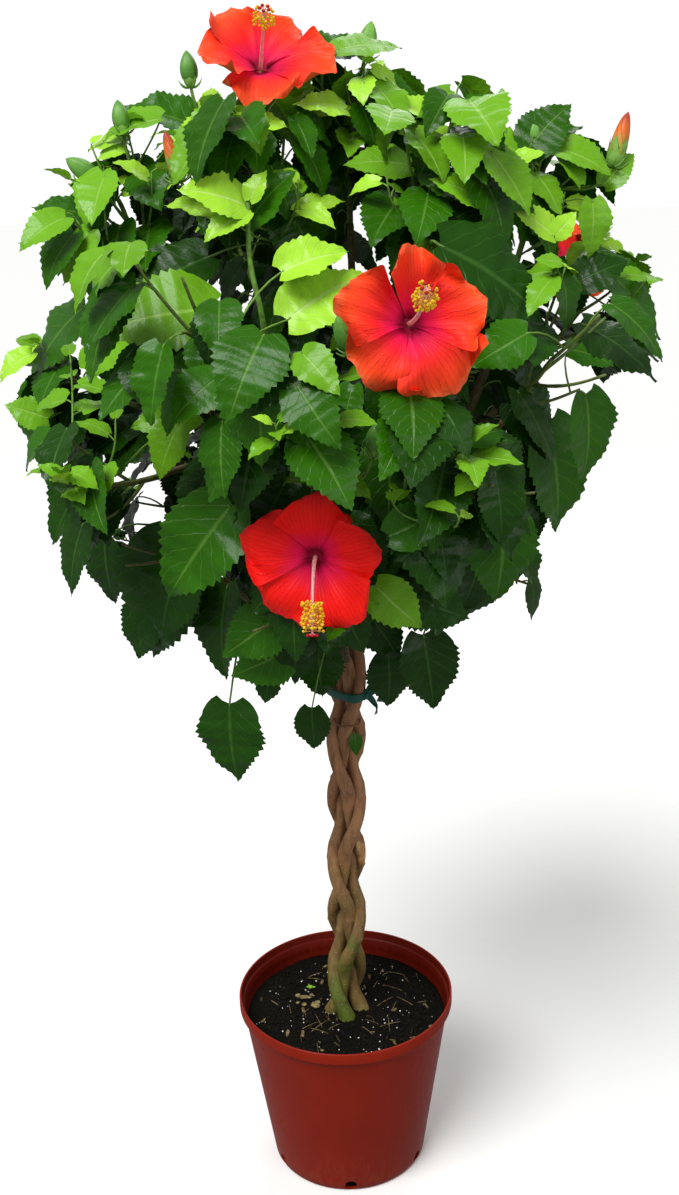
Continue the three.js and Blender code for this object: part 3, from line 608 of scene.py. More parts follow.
def mass_twigs(limbs, m):
    points = limbs.boughs[MASSES[m][0]]["points"]
    way = unit(points[-1] - points[-2])
    main = grow_twig(limbs, points[-1] + way * GAP, way, MASS_STEM_LENGTH, 3, 0.18, m, MAIN_RADII)
    twigs = [main]
    for i in range(TWIGS):
        start, along = point_along(main["points"], 0.2 + 0.8 * i / (TWIGS - 1))
        a, b = pair_across(along, sideways(along))
        angle = i * GOLDEN_ANGLE + m
        aside = a * math.cos(angle) + b * math.sin(angle)
        spread = 0.25 if i == TWIGS - 1 else 1
        going = mixed((along, 0.6), (aside, spread), (outwards(start), 0.75))
        length = between(TWIG_LENGTH, m, i, 5)
        grown = grow_twig(limbs, start, going, length, 3, 0.25, m, TWIG_RADII)
        if len(grown["points"]) > 1:
            twigs.append(grown)
    return twigs


# Leaves


def leaf_of(m, root, base, way, up, length, width, bend, share=0.5):
    """A blade that is an arc from its base; left, right and middle are its widest place, at two fifths."""
    normal = unit(up - way * (up @ way))
    left = np.cross(normal, way)

    def arc(part):
        a = bend * part
        return base + way * (length * math.sin(a) / bend) - normal * (length * (1 - math.cos(a)) / bend)

    middle = arc(0.4)
    half = width / 2
    blade = np.array([base, middle + left * half, arc(1), middle - left * half, middle])
    return {
        "m": m,
        "root": root,
        "base": base,
        "way": way,
        "normal": normal,
        "length": length,
        "width": width,
        "bend": bend,
        "share": share,
        "blade": blade,
    }


def leaf_at(p, along, key, m, attempt, share, scale=1.0):
    """A leaf on a twig: which way its stalk and its blade go, and how it is bent."""
    a, b = pair_across(along, sideways(along))
    angle = key * GOLDEN_ANGLE + between((-0.5, 0.5), m, key, 1 + attempt) + attempt * 1.9
    aside = a * math.cos(angle) + b * math.sin(angle)
    out = outwards(p)
    stalk = mixed((along, 0.55), (aside, 0.85), (out, 0.5), (UP, 0.15))
    fit = (0.88 if p[2] > 1080 else 1) * (0.76 if attempt > 4 else 1) * scale
    size = between(LEAF_LENGTH, m, key, 11) * (1 - 0.42 * share**3) * fit
    base = p + stalk * (size * between((0.28, 0.5), m, key, 12))
    level = unit((stalk + out * 0.55) * vec(1, 1, 0))
    turn = between((-0.55, 0.55), m, key, 19)
    flat = unit(level + vec(-level[1], level[0], 0) * turn)
    high = min(1, max(0, (p[2] - 700) / 520))
    low = between((38, 86), m, key, 13) * (1 - high)
    droop = math.radians(low + between((4, 56), m, key, 13) * high)
    way = flat * math.cos(droop) - UP * math.sin(droop)
    tilt = vec(between((-1, 1), m, key, 14), between((-1, 1), m, key, 15), 0)
    width = size * between((0.68, 0.84), m, key, 16)
    bend = math.radians(between((14, 50), m, key, 17))
    up = UP * 0.75 + out * 0.7 + tilt * 0.35
    return leaf_of(m, p, base, way, up, size, width, bend, share)


BLADE_FACES = np.array([[0, 1, 4], [1, 2, 4], [2, 3, 4], [3, 0, 4]])
BLADE_EDGES = [(0, 1), (1, 2), (2, 3), (3, 0), (0, 4), (4, 2)]


def pierced(starts, ends, faces):
    """Whether any line from a start to its end passes through any of the triangles."""
    p = faces[:, 0]
    e1 = faces[:, 1] - p
    e2 = faces[:, 2] - p
    ways = (ends - starts)[:, None, :]
    h = np.cross(ways, e2[None])
    det = (e1[None] * h).sum(2)
    flat = np.abs(det) < 1e-9
    det = np.where(flat, 1, det)
    s = starts[:, None, :] - p[None]
    u = (s * h).sum(2) / det
    c = np.cross(s, np.broadcast_to(e1[None], s.shape))
    v = (ways * c).sum(2) / det
    t = (e2[None] * c).sum(2) / det
    return bool((~flat & (u >= 0) & (v >= 0) & (u + v <= 1) & (t >= 0) & (t <= 1)).any())


def blade_lines(blade, root):
    starts = [blade[i] for i, _ in BLADE_EDGES] + [root]
    ends = [blade[j] for _, j in BLADE_EDGES] + [blade[0]]
    return starts, ends


class Crown:
    """The leaves that have grown so far, and the tests for whether one more has room."""

    def __init__(self, limbs, twigs):
        self.limbs = limbs
        self.leaves = []
        self.middles = np.zeros((0, 3))
        lines = [(a, b) for twig in twigs for a, b in zip(twig["points"], twig["points"][1:])]
        self.twig_starts = np.array([a for a, _ in lines])
        self.twig_ends = np.array([b for _, b in lines])

    def add(self, leaf):
        self.leaves.append(leaf)
        self.middles = np.vstack([self.middles, leaf["blade"][4]])

    def apart(self, leaf, least):
        if not self.leaves:
            return True
        away = np.linalg.norm(self.middles - leaf["blade"][4], axis=1)
        if (away <= least).any():
            return False
        near = [self.leaves[i] for i in np.nonzero(away <= 160)[0]]
        if not near:
            return True
        blades = np.array([other["blade"] for other in near])
        starts, ends = blade_lines(leaf["blade"], leaf["root"])
        if pierced(np.array(starts), np.array(ends), blades[:, BLADE_FACES].reshape(-1, 3, 3)):
            return False
        starts, ends = [], []
        for other in near:
            more = blade_lines(other["blade"], other["root"])
            starts += more[0]
            ends += more[1]
        return not pierced(np.array(starts), np.array(ends), leaf["blade"][BLADE_FACES])

    def speared(self, leaf):
        near = np.linalg.norm(self.twig_starts - leaf["root"], axis=1) <= 260
        if not near.any():
            return False
        return pierced(self.twig_starts[near], self.twig_ends[near], leaf["blade"][BLADE_FACES])

    def has_room(self, leaf, reach, cell=1.6, least=13.0, clearance=6.0):
        blade = leaf["blade"]
        if (crown_share(blade) >= reach).any() or not in_cell(leaf["m"], blade, cell):
            return False
        middles = [lerp(blade[i], blade[j], 0.5) for i, j in ((0, 4), (4, 2), (0, 1), (0, 3))]
        points = np.vstack([blade, middles])
        if not self.limbs.clear(points, clearance) or not clear_of_blossom(points, 0):
            return False
        stalk = [lerp(leaf["root"], blade[0], share) for share in (0.35, 0.7)]
        if not self.limbs.clear(stalk, 2):
            return False
        return not self.speared(leaf) and self.apart(leaf, least)


# Blossom, buds and leaves with a place of their own


def mass_nearest(p):
    return int(np.argmin(np.linalg.norm(HEARTS - p, axis=1)))


def spur_root(m, twigs, p):
    """The place on a mass's twigs from which a spur climbs to a point."""
    best = (math.inf, None, None)
    for twig in twigs:
        share = 0.05
        while twig["m"] == m and share < 0.96:
            at, along = point_along(twig["points"], share)
            cost = length_of(at - p) + 0.8 * max(0, at[2] - p[2] + 20)
            if cost < best[0]:
                best = (cost, at, along)
            share += 0.1
    return best[1], best[2]


def placed_leaf(at, facing, size, push, twigs):
    base = at + outwards(at) * push
    m = mass_nearest(base)
    up = outwards(base) + UP * 0.6 + vec(0, -0.7, 0)
    root, _ = spur_root(m, twigs, base)
    return leaf_of(m, root, base, aim(*facing), up, size, size * 0.8, 0.5)


def placed_spur(kind, at, facing, size, twigs):
    way = aim(*facing)
    foot = at + way * (-0.3 * size if kind == "blossom" else 0)
    m = mass_nearest(at)
    start, _ = spur_root(m, twigs, foot - way * 30)
    middle = foot - way * min(50, length_of(foot - start) * 0.5)
    return {"m": m, "points": curve(start, middle, foot, 3), "radii": (1.7, 1.5)}


# The whole plant: the source's own leaves first, then finer growth wherever there is room


def grow_plant():
    limbs = Limbs()
    twigs = [twig for m in range(len(MASSES)) for twig in mass_twigs(limbs, m)]
    crown = Crown(limbs, twigs)
    for kind, at, facing, size in PLACED:
        if kind != "leaf":
            continue
        tries = (placed_leaf(vec(*at), facing, size, push, twigs) for push in (0, 10, 20, 30, 40))
        leaf = next((tried for tried in tries if crown.has_room(tried, 9)), None)
        if leaf is None:
            raise RuntimeError("no room for the leaf at " + str(at))
        leaf["fixed"] = True
        crown.add(leaf)
    for t, twig in enumerate(twigs):
        points = twig["points"]
        span = sum(length_of(b - a) for a, b in zip(points, points[1:]))
        count = math.floor(span / LEAF_STEP) + 1
        for c in range(count):
            share = (c + 0.6) / count
            p, along = point_along(points, share)
            for attempt in range(LEAF_TRIES):
                leaf = leaf_at(p, along, t * 16 + c, twig["m"], attempt, share)
                if crown.has_room(leaf, 1.02):
                    crown.add(leaf)
                    break
    features = []
    for kind, at, facing, size in PLACED:
        if kind != "leaf":
            spur = placed_spur(kind, vec(*at), facing, size, twigs)
            features.append({"kind": kind, "at": vec(*at), "way": aim(*facing), "size": size, "spur": spur})
    return {"limbs": limbs, "twigs": twigs, "crown": crown, "features": features}


def young_leaf(m, root, along, key, share, size, lift):
    """A leaf of a growing tip: short-stalked, held nearly level or lifted, the smallest at the very end."""
    a, b = pair_across(along, sideways(along))
    angle = key * GOLDEN_ANGLE + between((-0.3, 0.3), key, 31)
    aside = a * math.cos(angle) + b * math.sin(angle)
    stalk = mixed((along, 0.5), (aside, 0.9), (UP, 0.15))
    base = root + stalk * (size * between((0.16, 0.34), key, 32))
    level = unit(stalk * vec(1, 1, 0) + vec(1e-4, 0, 0))
    droop = math.radians(between((-14, 42), key, 33) - lift * share)
    way = level * math.cos(droop) - UP * math.sin(droop)
    tilt = vec(between((-1, 1), key, 34), between((-1, 1), key, 35), 0)
    up = UP + outwards(root) * 0.35 + tilt * 0.35
    bend = math.radians(between((18, 55), key, 36))
    return leaf_of(m, root, base, way, up, size, size * between((0.6, 0.78), key, 37), bend, 1.0)


class Sights:
    """Lines of sight from the front that stay open, to the sky, the blossoms and the leaves that face it."""

    def __init__(self, face_leaves):
        rows = [(*(vec(x, 0, z) - EYE), r, 9000) for x, z, r in OPEN_SKY]
        for at, _, size in BLOSSOMS[:3]:
            rows.append((*(at - EYE), size * 0.86, length_of(at - EYE) - 6))
        for leaf in face_leaves:
            line = leaf["blade"][4] - EYE
            rows.append((*line, leaf["length"] * 0.36, length_of(line) + 10))
        rows = np.array(rows)
        self.ways = rows[:, :3] / np.linalg.norm(rows[:, :3], axis=1, keepdims=True)
        self.radii, self.depths = rows[:, 3], rows[:, 4]

    def block(self, point, count=None, share=1.0):
        """Whether a point stands in a line of sight; those to the sky come first, and count can end there."""
        w = np.asarray(point) - EYE
        along = self.ways[:count] @ w
        aside = np.sqrt(np.maximum(0, w @ w - along**2))
        return bool(((aside < self.radii[:count] * share) & (along < self.depths[:count])).any())

    def over_sky(self, leaf):
        return any(self.block(leaf["blade"][i], len(OPEN_SKY), 0.75) for i in (1, 2, 3, 4))

    def hidden_by(self, leaf):
        return self.block(leaf["blade"][4]) or self.over_sky(leaf)


def grow_face(plant):
    """Turns a few large leaves to the front and clears what would stand before them."""
    crown, twigs = plant["crown"], plant["twigs"]
    placed = []
    for base, tip, light in FACE_LEAVES:
        base, tip = vec(*base), vec(*tip)
        m = mass_nearest(base)
        root, _ = spur_root(m, twigs, base)
        if length_of(root - base) > 70:
            root = base + (root - base) * (70 / length_of(root - base))
        size = length_of(tip - base) * 1.05
        facing = outwards(base) * 0.7 + UP * 0.7 + vec(0, -0.9, 0)
        way = unit(tip - base)
        for push in (0, 8, 16, 25, 35, 46, 58, 70, 0):
            ahead = unit(EYE - base) * push
            leaf, wider = (
                leaf_of(m, root, base + ahead, way, facing, size * grown, size * 0.78 * grown**2, 0.6)
                for grown in (1.0, 1.14)
            )
            if crown.limbs.clear(leaf["blade"], 2) and not crown.speared(leaf) and not crown.speared(wider):
                break
        leaf["light"] = light
        placed.append(leaf)
    plant["sights"] = sights = Sights(placed)
    kept = [leaf for leaf in crown.leaves if "fixed" in leaf or not sights.hidden_by(leaf)]
    crown.leaves, crown.middles = [], np.zeros((0, 3))
    for leaf in placed:
        crown.add(leaf)
    for leaf in kept:
        if crown.apart(leaf, 9):
            crown.add(leaf)
    # One small leaf hangs from the plait below the ties
    foot = vec(19, -15, 556)
    low = leaf_of(0, vec(15, -7, 559), foot, unit(vec(0.1, -0.3, -1)), vec(0.3, -1, 0.3), 25, 17, 0.4)
    low["light"] = 0.35
    crown.add(low)


def turned_to_front(leaf):
    """The leaf turned about its midrib, so that it isn't seen edge on from the front."""
    line = unit(EYE - leaf["blade"][4])
    seen = float(leaf["normal"] @ line)
    if abs(seen) > TURN_BELOW or leaf["blade"][4][1] > 90 or "fixed" in leaf:
        return leaf
    across = line - leaf["way"] * (line @ leaf["way"])
    side = 1 if seen > -0.12 else -1
    up = leaf["normal"] + across * (side * 0.95 * (1 - abs(seen) / TURN_BELOW) + side * 0.1)
    before = [leaf[key] for key in ("m", "root", "base", "way")]
    after = [leaf[key] for key in ("length", "width", "bend", "share")]
    return {**leaf, **leaf_of(*before, up, *after)}


def grow_shoot(plant, m, path, count, size, key, reach=1.04):
    """Adds a leafy shoot that follows a path, and returns how many of its leaves found room."""
    crown = plant["crown"]
    if reach < 1.1 and any(plant["sights"].block(p) for p in path[1:]):
        return 0
    grown = 0
    for i in range(count):
        share = 0.3 + 0.7 * i / max(1, count - 1)
        at, along = point_along(path, share)
        length = size * (1 - 0.5 * share**3) * between((0.85, 1.1), key, i, 41)
        leaf = young_leaf(m, at, along, key * 8 + i, share, length, 40)
        if plant["sights"].hidden_by(leaf):
            continue
        if crown.has_room(leaf, reach, cell=-9, least=5, clearance=2.5):
            crown.add(leaf)
            leaf["young"] = 1.0
            grown += 1
    plant["shoots"].append({"m": m, "points": path, "radii": (1.25, 0.8)})
    return grown


def grow_finer(plant):
    """Young shoots at the tips, and more leaves along the twigs and boughs, within the same reach."""
    crown = plant["crown"]
    twigs = plant["twigs"]
    sights = plant["sights"]
    plant["shoots"] = []
    for points, radii in GREEN_STEMS:
        plant["shoots"].append({"points": smooth_path([vec(*p) for p in points], 12), "radii": radii})
    for k, (tip, count, size) in enumerate(SHOOTS):
        tip = vec(*tip)
        m = mass_nearest(tip)
        start, _ = spur_root(m, twigs, tip - UP * 40)
        middle = tip - UP * min(36, 0.5 * length_of(tip - start))
        grow_shoot(plant, m, curve(start, middle, tip, 4), count, size, 700 + k, 1.1)
    for t, twig in enumerate(twigs):
        tip, along = point_along(twig["points"], 0.999)
        rise = between((0.2, 0.9), t, 51)
        way = mixed((along, 1), (UP, rise), (outwards(tip), 0.4))
        length = between(TIP_SHOOT_LENGTH, t, 52)
        end = tip + way * length
        open_end = clear_of_blossom([end], 2) and not sights.block(end)
        if crown_share(end)[0] < 0.97 and open_end and crown.limbs.clear(end, 3):
            path = curve(tip, tip + along * length * 0.5, end, 3)
            size = between(TIP_LEAF_LENGTH, t, 53)
            grow_shoot(plant, twig["m"], path, 6, size, 900 + t)
    for inner in (0, 1):
        lines = [(twig["m"], twig["points"], t, (13.0, 10.0)[inner], 0.1) for t, twig in enumerate(twigs)]
        for n, bough in enumerate(crown.limbs.boughs.values()):
            lines.append((None, bough["points"], 300 + n, (17.0, 11.0)[inner], (0.4, 0.25)[inner]))
        room = ({"cell": -6, "least": 9, "clearance": 3.5}, {"cell": -22, "least": 6, "clearance": 2})[inner]
        for owner, points, t, step, first in lines:
            span = sum(length_of(b - a) for a, b in zip(points, points[1:]))
            count = math.floor(span * (1 - first) / step) + 1
            for c in range(count):
                share = first + (1 - first) * (c + 0.35) / count
                p, along = point_along(points, share)
                m = mass_nearest(p) if owner is None else owner
                for attempt in range(5):
                    scale = between((0.62, 0.94), t, c, 61) + 0.12 * inner
                    leaf = leaf_at(p, along, 9000 + 5000 * inner + t * 32 + c, m, attempt, share * 0.8, scale)
                    if sights.hidden_by(leaf):
                        continue
                    if crown.has_room(leaf, (0.99, 0.9)[inner], **room):
                        crown.add(leaf)
                        break
    turned = (turned_to_front(leaf) for leaf in crown.leaves)
    crown.leaves = [leaf for leaf in turned if {"fixed", "light"} & leaf.keys() or not sights.over_sky(leaf)]


PLANT = {}


def whole_plant():
    """The plant as it has grown, worked out once for all the operators."""
    if not PLANT:
        PLANT.update(grow_plant())
        grow_face(PLANT)
        grow_finer(PLANT)
    return PLANT


def tone_of(leaf, number):
    """How light a leaf's colour is, from 0 to 1: partly its age, and partly painted light and shade, lighter
    high up and towards the crown's outside, darker low down and inside.
    """
    at = leaf["blade"][4]
    height = (at[2] - SHADED_BELOW) / LIGHTER_OVER
    open_sky = float(crown_share(at)[0])
    # A leaf that faces the front keeps its given lightness, which holds painted light and shade as well
    if "light" in leaf:
        return min(1, leaf["light"] + 0.1 * (draw(number, 71) - 0.5))
    # Painted light and shade from height and from nearness to the crown's outside, with age from the place
    # along the twig and from young shoots, and a random spread
    tone = 0.52 * height + 0.22 * open_sky + 0.12 * leaf["share"] - 0.12
    tone += 0.34 * leaf.get("young", 0) + 0.3 * (draw(number, 71) - 0.5)
    return min(1, max(0, tone))


# Meshes


def put(name, data):
    """Puts a mesh, a light or a camera into the scene as an object."""
    made = bpy.data.objects.new(name, data)
    bpy.context.scene.collection.objects.link(made)
    return made


class Skin:
    """Points, faces and the marks of each point, gathered from many parts of one piece."""

    def __init__(self):
        self.points = []
        self.faces = []
        self.uvs = []
        self.tones = []
        self.count = 0

    def add(self, points, faces, uvs=None, tone=0.0):
        points = np.asarray(points, float).reshape(-1, 3)
        n = len(points)
        self.points.append(points)
        self.faces += [tuple(i + self.count for i in face) for face in faces]
        self.uvs.append(np.zeros((n, 2)) if uvs is None else np.asarray(uvs, float).reshape(-1, 2))
        self.tones.append(np.broadcast_to(np.asarray(tone, float), (n,)))
        self.count += n

    def piece(self, name, *materials):
        """The piece as one plain mesh in metres, with its points' marks as the attribute tone."""
        mesh = bpy.data.meshes.new(name)
        mesh.from_pydata((np.vstack(self.points) * MM).tolist(), [], self.faces)
        mesh.attributes.new("tone", "FLOAT", "POINT").data.foreach_set("value", np.concatenate(self.tones))
        corners = np.zeros(len(mesh.loops), np.int32)
        mesh.loops.foreach_get("vertex_index", corners)
        layer = mesh.uv_layers.new(name="UVMap")
        layer.uv.foreach_set("vector", np.vstack(self.uvs)[corners].ravel())
        mesh.polygons.foreach_set("use_smooth", [True] * len(mesh.polygons))
        for material in materials:
            mesh.materials.append(material)
        mesh.validate()
        return put(name, mesh)


def grid_faces(rows, columns, closed=False):
    """Quads between rows of points; closed joins each row's last point to its first."""
    faces = []
    for k in range(rows - 1):
        for i in range(columns if closed else columns - 1):
            j = (i + 1) % columns
            a, b = k * columns + i, k * columns + j
            faces.append((a, b, b + columns, a + columns))
    return faces


def smooth_path(points, step):
    """The same line through its points without corners, in even steps of about that length."""
    points = [np.asarray(p, float) for p in points]
    made = []
    for k in range(len(points) - 1):
        p1, p2 = points[k], points[k + 1]
        p0 = points[k - 1] if k else p1 * 2 - p2
        p3 = points[k + 2] if k + 2 < len(points) else p2 * 2 - p1
        count = max(1, round(length_of(p2 - p1) / step))
        for i in range(count):
            t = i / count
            a = p1 * 2 + (p2 - p0) * t + (p0 * 2 - p1 * 5 + p2 * 4 - p3) * t * t
            made.append(0.5 * (a + (p1 * 3 - p0 - p2 * 3 + p3) * t**3))
    return made + [points[-1]]


def tube(skin, path, radii, sides, relief=None, tone=0.0, capped=True):
    """A round limb along a path. relief gives a factor for its radius at each ring and angle."""
    path = [np.asarray(p, float) for p in path]
    n = len(path)
    widths = np.interp(np.linspace(0, 1, n), np.linspace(0, 1, len(radii)), radii)
    last = sideways(unit(path[1] - path[0]))
    rings, uvs = [], []
    gone = 0.0
    angles = np.arange(sides) * 2 * math.pi / sides
    for k, p in enumerate(path):
        a, b = pair_across(unit(path[min(n - 1, k + 1)] - path[max(0, k - 1)]), last)
        last = a
        r = np.full(sides, widths[k])
        if relief is not None:
            r = r * np.array([relief(gone, t) for t in angles])
        rings.append(p + np.outer(r * np.cos(angles), a) + np.outer(r * np.sin(angles), b))
        uvs.append(np.stack([angles / (2 * math.pi), np.full(sides, gone / 100)], axis=1))
        if k < n - 1:
            gone += length_of(path[k + 1] - p)
    faces = grid_faces(n, sides, closed=True)
    if capped:
        faces.append(tuple(reversed(range(sides))))
        faces.append(tuple((n - 1) * sides + i for i in range(sides)))
    skin.add(np.vstack(rings), faces, np.vstack(uvs), tone)


# Leaves: an arched, folded blade with coarse forward teeth and a rounded or heart-shaped foot

ACROSS = np.array([-1.0, -0.52, 0.0, 0.52, 1.0])
WIDEST = 0.34


def outline(t):
    """Half the blade's width at a share of its length."""
    foot = np.sqrt(np.clip(1 - 0.86 * (1 - np.minimum(t, WIDEST) / WIDEST) ** 2, 0, 1))
    u = np.clip((t - WIDEST) / (1 - WIDEST), 0, 1)
    drawn_out = (1 - u) ** 1.08 * (1 + 0.78 * u) - 0.4 * u * u * (1 - u)
    return np.where(t < WIDEST, foot, drawn_out)


def blade(skin, leaf, number, plant_settings, tone):
    """One leaf: stations along its midrib, with a tooth at every second one, and more on a long leaf."""
    length, bend = leaf["length"], leaf["bend"]
    stations = 29 if length > 66 else 21 if length > 44 else 13
    k = np.arange(stations)
    t = k / (stations - 1)
    toothed = np.clip((t - 0.12) / 0.1, 0, 1) * (t < 0.985)
    tooth = np.where(k % 2 == 0, 1, -0.62) * plant_settings.tooth_depth * toothed
    tooth = tooth * (1 + 0.55 * np.sin(2.7 * k + 40 * draw(number, 86)))
    half = leaf["width"] / 2 * (outline(t) * (1 + tooth))
    angle = bend * t
    way, normal = leaf["way"], leaf["normal"]
    left = np.cross(normal, way)
    spine = leaf["base"] + np.outer(length * np.sin(angle) / bend, way)
    spine = spine - np.outer(length * (1 - np.cos(angle)) / bend, normal)
    ahead = np.outer(np.cos(angle), way) - np.outer(np.sin(angle), normal)
    above = np.outer(np.cos(angle), normal) + np.outer(np.sin(angle), way)
    fold = math.radians(between((4, 24), number, 81)) + 0.14 * tone
    phase = 6.28 * draw(number, 82)
    ruffle = between((0.012, 0.034), number, 83) * length
    swing = between((-0.1, 0.1), number, 84)
    rows = []
    for u in ACROSS:
        size = abs(u)
        out = half * u * math.cos(fold)
        lift = half * size * math.sin(fold) - 0.16 * half * size**3
        lift = lift + ruffle * size**2 * np.sin(2 * math.pi * 2.6 * t + phase + (1.3 if u > 0 else 0))
        lift = lift + 0.011 * length * (size == 0.52) * np.cos(2 * math.pi * 7 * t)
        lobe = 0.085 * length * size**1.4 * np.clip(1 - t / 0.2, 0, 1)
        point = 0.016 * length * (size == 1) * (k % 2 == 0) * toothed
        side = np.outer(out + swing * length * t**2 * 0.5, left)
        rows.append(spine + side + above * lift[:, None] + ahead * (point - lobe)[:, None])
    points = np.stack(rows, axis=1).reshape(-1, 3)
    uvs = np.stack([np.tile(ACROSS / 2 + 0.5, stations), np.repeat(t, len(ACROSS))], axis=1)
    faces = [tuple(reversed(face)) for face in grid_faces(stations, len(ACROSS))]
    skin.add(points, faces, uvs, draw(number, 85))


def stalk(skin, leaf, tone):
    """The leaf's stalk, which arches up from its twig and runs a little into the blade."""
    root, base = leaf["root"], leaf["base"]
    span = length_of(base - root)
    meet = lerp(root, base, 0.6) + UP * 0.1 * span - leaf["way"] * 0.12 * span
    thick = 0.55 + 0.0065 * leaf["length"]
    path = curve(root, meet, base, 4) + [base + leaf["way"] * 0.04 * leaf["length"]]
    # The stalk's colour follows its leaf's tone, so it carries the same painted light and shade
    tube(skin, path, (thick * 1.25, thick, thick, thick * 0.8), 5, tone=0.3 + 0.6 * tone)


# Blossom: five ruffled petals that overlap, the column of stamens and the green cup behind them


def spoke(centre, facing, radius, height, angle):
    """A point round an axis, from its distance to the axis, its height along it and its angle."""
    a, b = pair_across(facing, sideways(facing))
    return centre + a * (radius * math.cos(angle)) + b * (radius * math.sin(angle)) + facing * height


# For each blossom: turn of its petals, ruffle, spread, reach of its column, how far the column sags, and how
# broad each petal is
BLOSSOM_FORMS = (
    (1.5, 1.1, 1.0, 1.0, -0.05, (1, 1, 1, 0.9, 1)),
    (0.9, 1.75, 0.98, 1.2, -0.3, (1.1, 1.1, 0.95, 0.62, 0.96)),
    (0.9, 0.95, 1.05, 0.82, 0.95, (1.1, 1, 0.9, 1, 1)),
    (0.4, 1.3, 1.0, 1.2, 0.1, (1, 1, 1, 1, 1)),
    (0.7, 1.2, 0.82, 1.2, 0.0, (1, 0.9, 1, 1, 1)),
    (0.1, 1.1, 1.0, 1.1, 0.4, (1, 1, 1, 0.85, 1)),
)
PETAL_ROWS = 19
PETAL_COLUMNS = 17
PETAL_DEPTH = 0.36
CRIMSON_BLOSSOM = 2
# Column and stamens: its radii as shares of the blossom's size, and how far along the first stamens stand
COLUMN_RADII = (0.036, 0.028, 0.022, 0.018)
STAMENS_FROM = 0.68
ANTHER_TO_FILAMENT = 7.6
# A bud at least this long shows its rolled petals
OPENING_BUD = 48


def petal(skin, centre, facing, size, angle, number, droop, ruffle, broad):
    """One petal from the throat outwards: narrow at the claw, broad, rounded and ruffled at its end."""
    a, b = pair_across(facing, sideways(facing))
    radial = a * math.cos(angle) + b * math.sin(angle)
    aside = np.cross(facing, radial)
    phase = 6.28 * draw(number, 91)
    flare = between((0.86, 1.04), number, 92)
    curl = between((-0.1, 0.34), number, 93) + droop * max(0, -radial[2])
    lean = between((-0.1, 0.14), number, 95)
    twist = between((-0.22, 0.22), number, 96)
    fold = between((0.0, 0.16), number, 97) + 1.1 * max(0, 1 - broad)
    far = between((0.9, 1.08), number, 98)
    points, uvs = [], []
    for k in range(PETAL_ROWS):
        v = k / (PETAL_ROWS - 1)
        for i in range(PETAL_COLUMNS):
            u = 2 * i / (PETAL_COLUMNS - 1) - 1
            wide = size * broad * (0.08 + 0.56 * flare * math.sin(min(1, v * 1.15) * math.pi / 2) ** 1.2)
            wide *= 1 - 0.16 * max(0, v - 0.75) / 0.25
            reach = size * (0.07 + 0.97 * v * far) * (1 - 0.33 * u * u * v)
            reach += 0.026 * size * v**2 * math.sin(6 * u + phase)
            reach += 0.012 * size * v**4 * math.sin(19 * u + phase)
            deep = -PETAL_DEPTH * size * (1 - v) ** 1.7 + 0.05 * size * math.sin(v * math.pi)
            deep += lean * size * v - curl * size * max(0, v - 0.4) ** 1.5
            edge = abs(u) ** 1.5 * v**1.5
            frill = 0.11 * ruffle * size * (0.22 * v**3 + edge) * math.sin(5.2 * u + 8 * v + phase)
            frill += 0.034 * ruffle * size * v**3 * math.sin(13 * u + phase * 2) * (0.4 + abs(u))
            overlap = (0.06 + twist * v) * size * u * v + fold * size * v**2 * abs(u) ** 3
            crease = 0.016 * size * math.sin(u * 11 + 3 * v) * math.sin(v * math.pi) ** 1.5
            height = deep + frill + overlap + crease + 0.08 * size * u * u * (1 - v)
            points.append(centre + radial * reach + aside * (u * wide * 0.98) + facing * height)
            uvs.append((u / 2 + 0.5, v))
    faces = grid_faces(PETAL_ROWS, PETAL_COLUMNS)
    skin.add(points, faces, uvs, draw(number, 94))


def throat_floor(skin, centre, facing, size):
    """Closes the throat round the foot of the column."""
    points = [spoke(centre, facing, 0.0, -(PETAL_DEPTH + 0.01) * size, 0)]
    rim = (0.1 * size, -(PETAL_DEPTH - 0.01) * size)
    points += [spoke(centre, facing, *rim, math.pi * i / 6) for i in range(12)]
    faces = [(0, 1 + i, 1 + (i + 1) % 12) for i in range(12)]
    skin.add(points, faces, [(0.5, 0.02)] * 13, 0.5)


def column_path(feature, reach, sag):
    """The line of the staminal column, which sags where the blossom faces level."""
    size, way = feature["size"], feature["way"]
    base = feature["at"] - way * (PETAL_DEPTH * size)
    middle = base + way * (0.66 * reach * size)
    end = base + way * (reach * size) - UP * (sag * size)
    return curve(base, middle, end, 12)


def green_cup(skin, foot, way, size, number, spread):
    """The calyx with its five points, and the ring of narrow bracts below it."""
    sides = 20
    rings = []
    for h, r in ((-0.02, 0.25), (0.08, 0.62), (0.3, 0.92), (0.55, 1.0), (0.78, 1.04), (1.0, 1.08)):
        ring = []
        for i in range(sides):
            t = 2 * math.pi * i / sides
            point = max(0.0, math.cos(2.5 * t) ** 2 if h == 1.0 else 0.5)
            rise = h if h < 1 else 0.72 + 0.5 * point
            ring.append(spoke(foot, way, r * size * 0.3 * spread, rise * size, t))
        rings += ring
    skin.add(rings, grid_faces(6, sides, closed=True), tone=0.75)
    for i in range(7):
        t = 2 * math.pi * (i + 0.5 * draw(number, i)) / 7
        start = spoke(foot, way, 0.12 * size, 0.0, t)
        middle = spoke(foot, way, 0.5 * size, 0.02 * size, t)
        end = spoke(foot, way, (0.62 + 0.2 * draw(number, i, 2)) * size, 0.42 * size, t)
        tube(skin, curve(start, middle, end, 4), (0.05 * size, 0.06 * size, 0.012 * size), 4, tone=0.6)


def stigma_and_anthers(skins, path, size):
    """Five red stigma pads on short spreading styles at the column's end."""
    end, way = path[-1], unit(path[-1] - path[-2])
    for i in range(5):
        t = 2 * math.pi * i / 5
        head = spoke(end, way, 0.07 * size, 0.055 * size, t)
        tube(skins["column"], curve(end, end + way * 0.05 * size, head, 3), (0.5, 0.45), 5, tone=0.2)
        ball(skins["stigma"], head, 0.028 * size, 0.9)


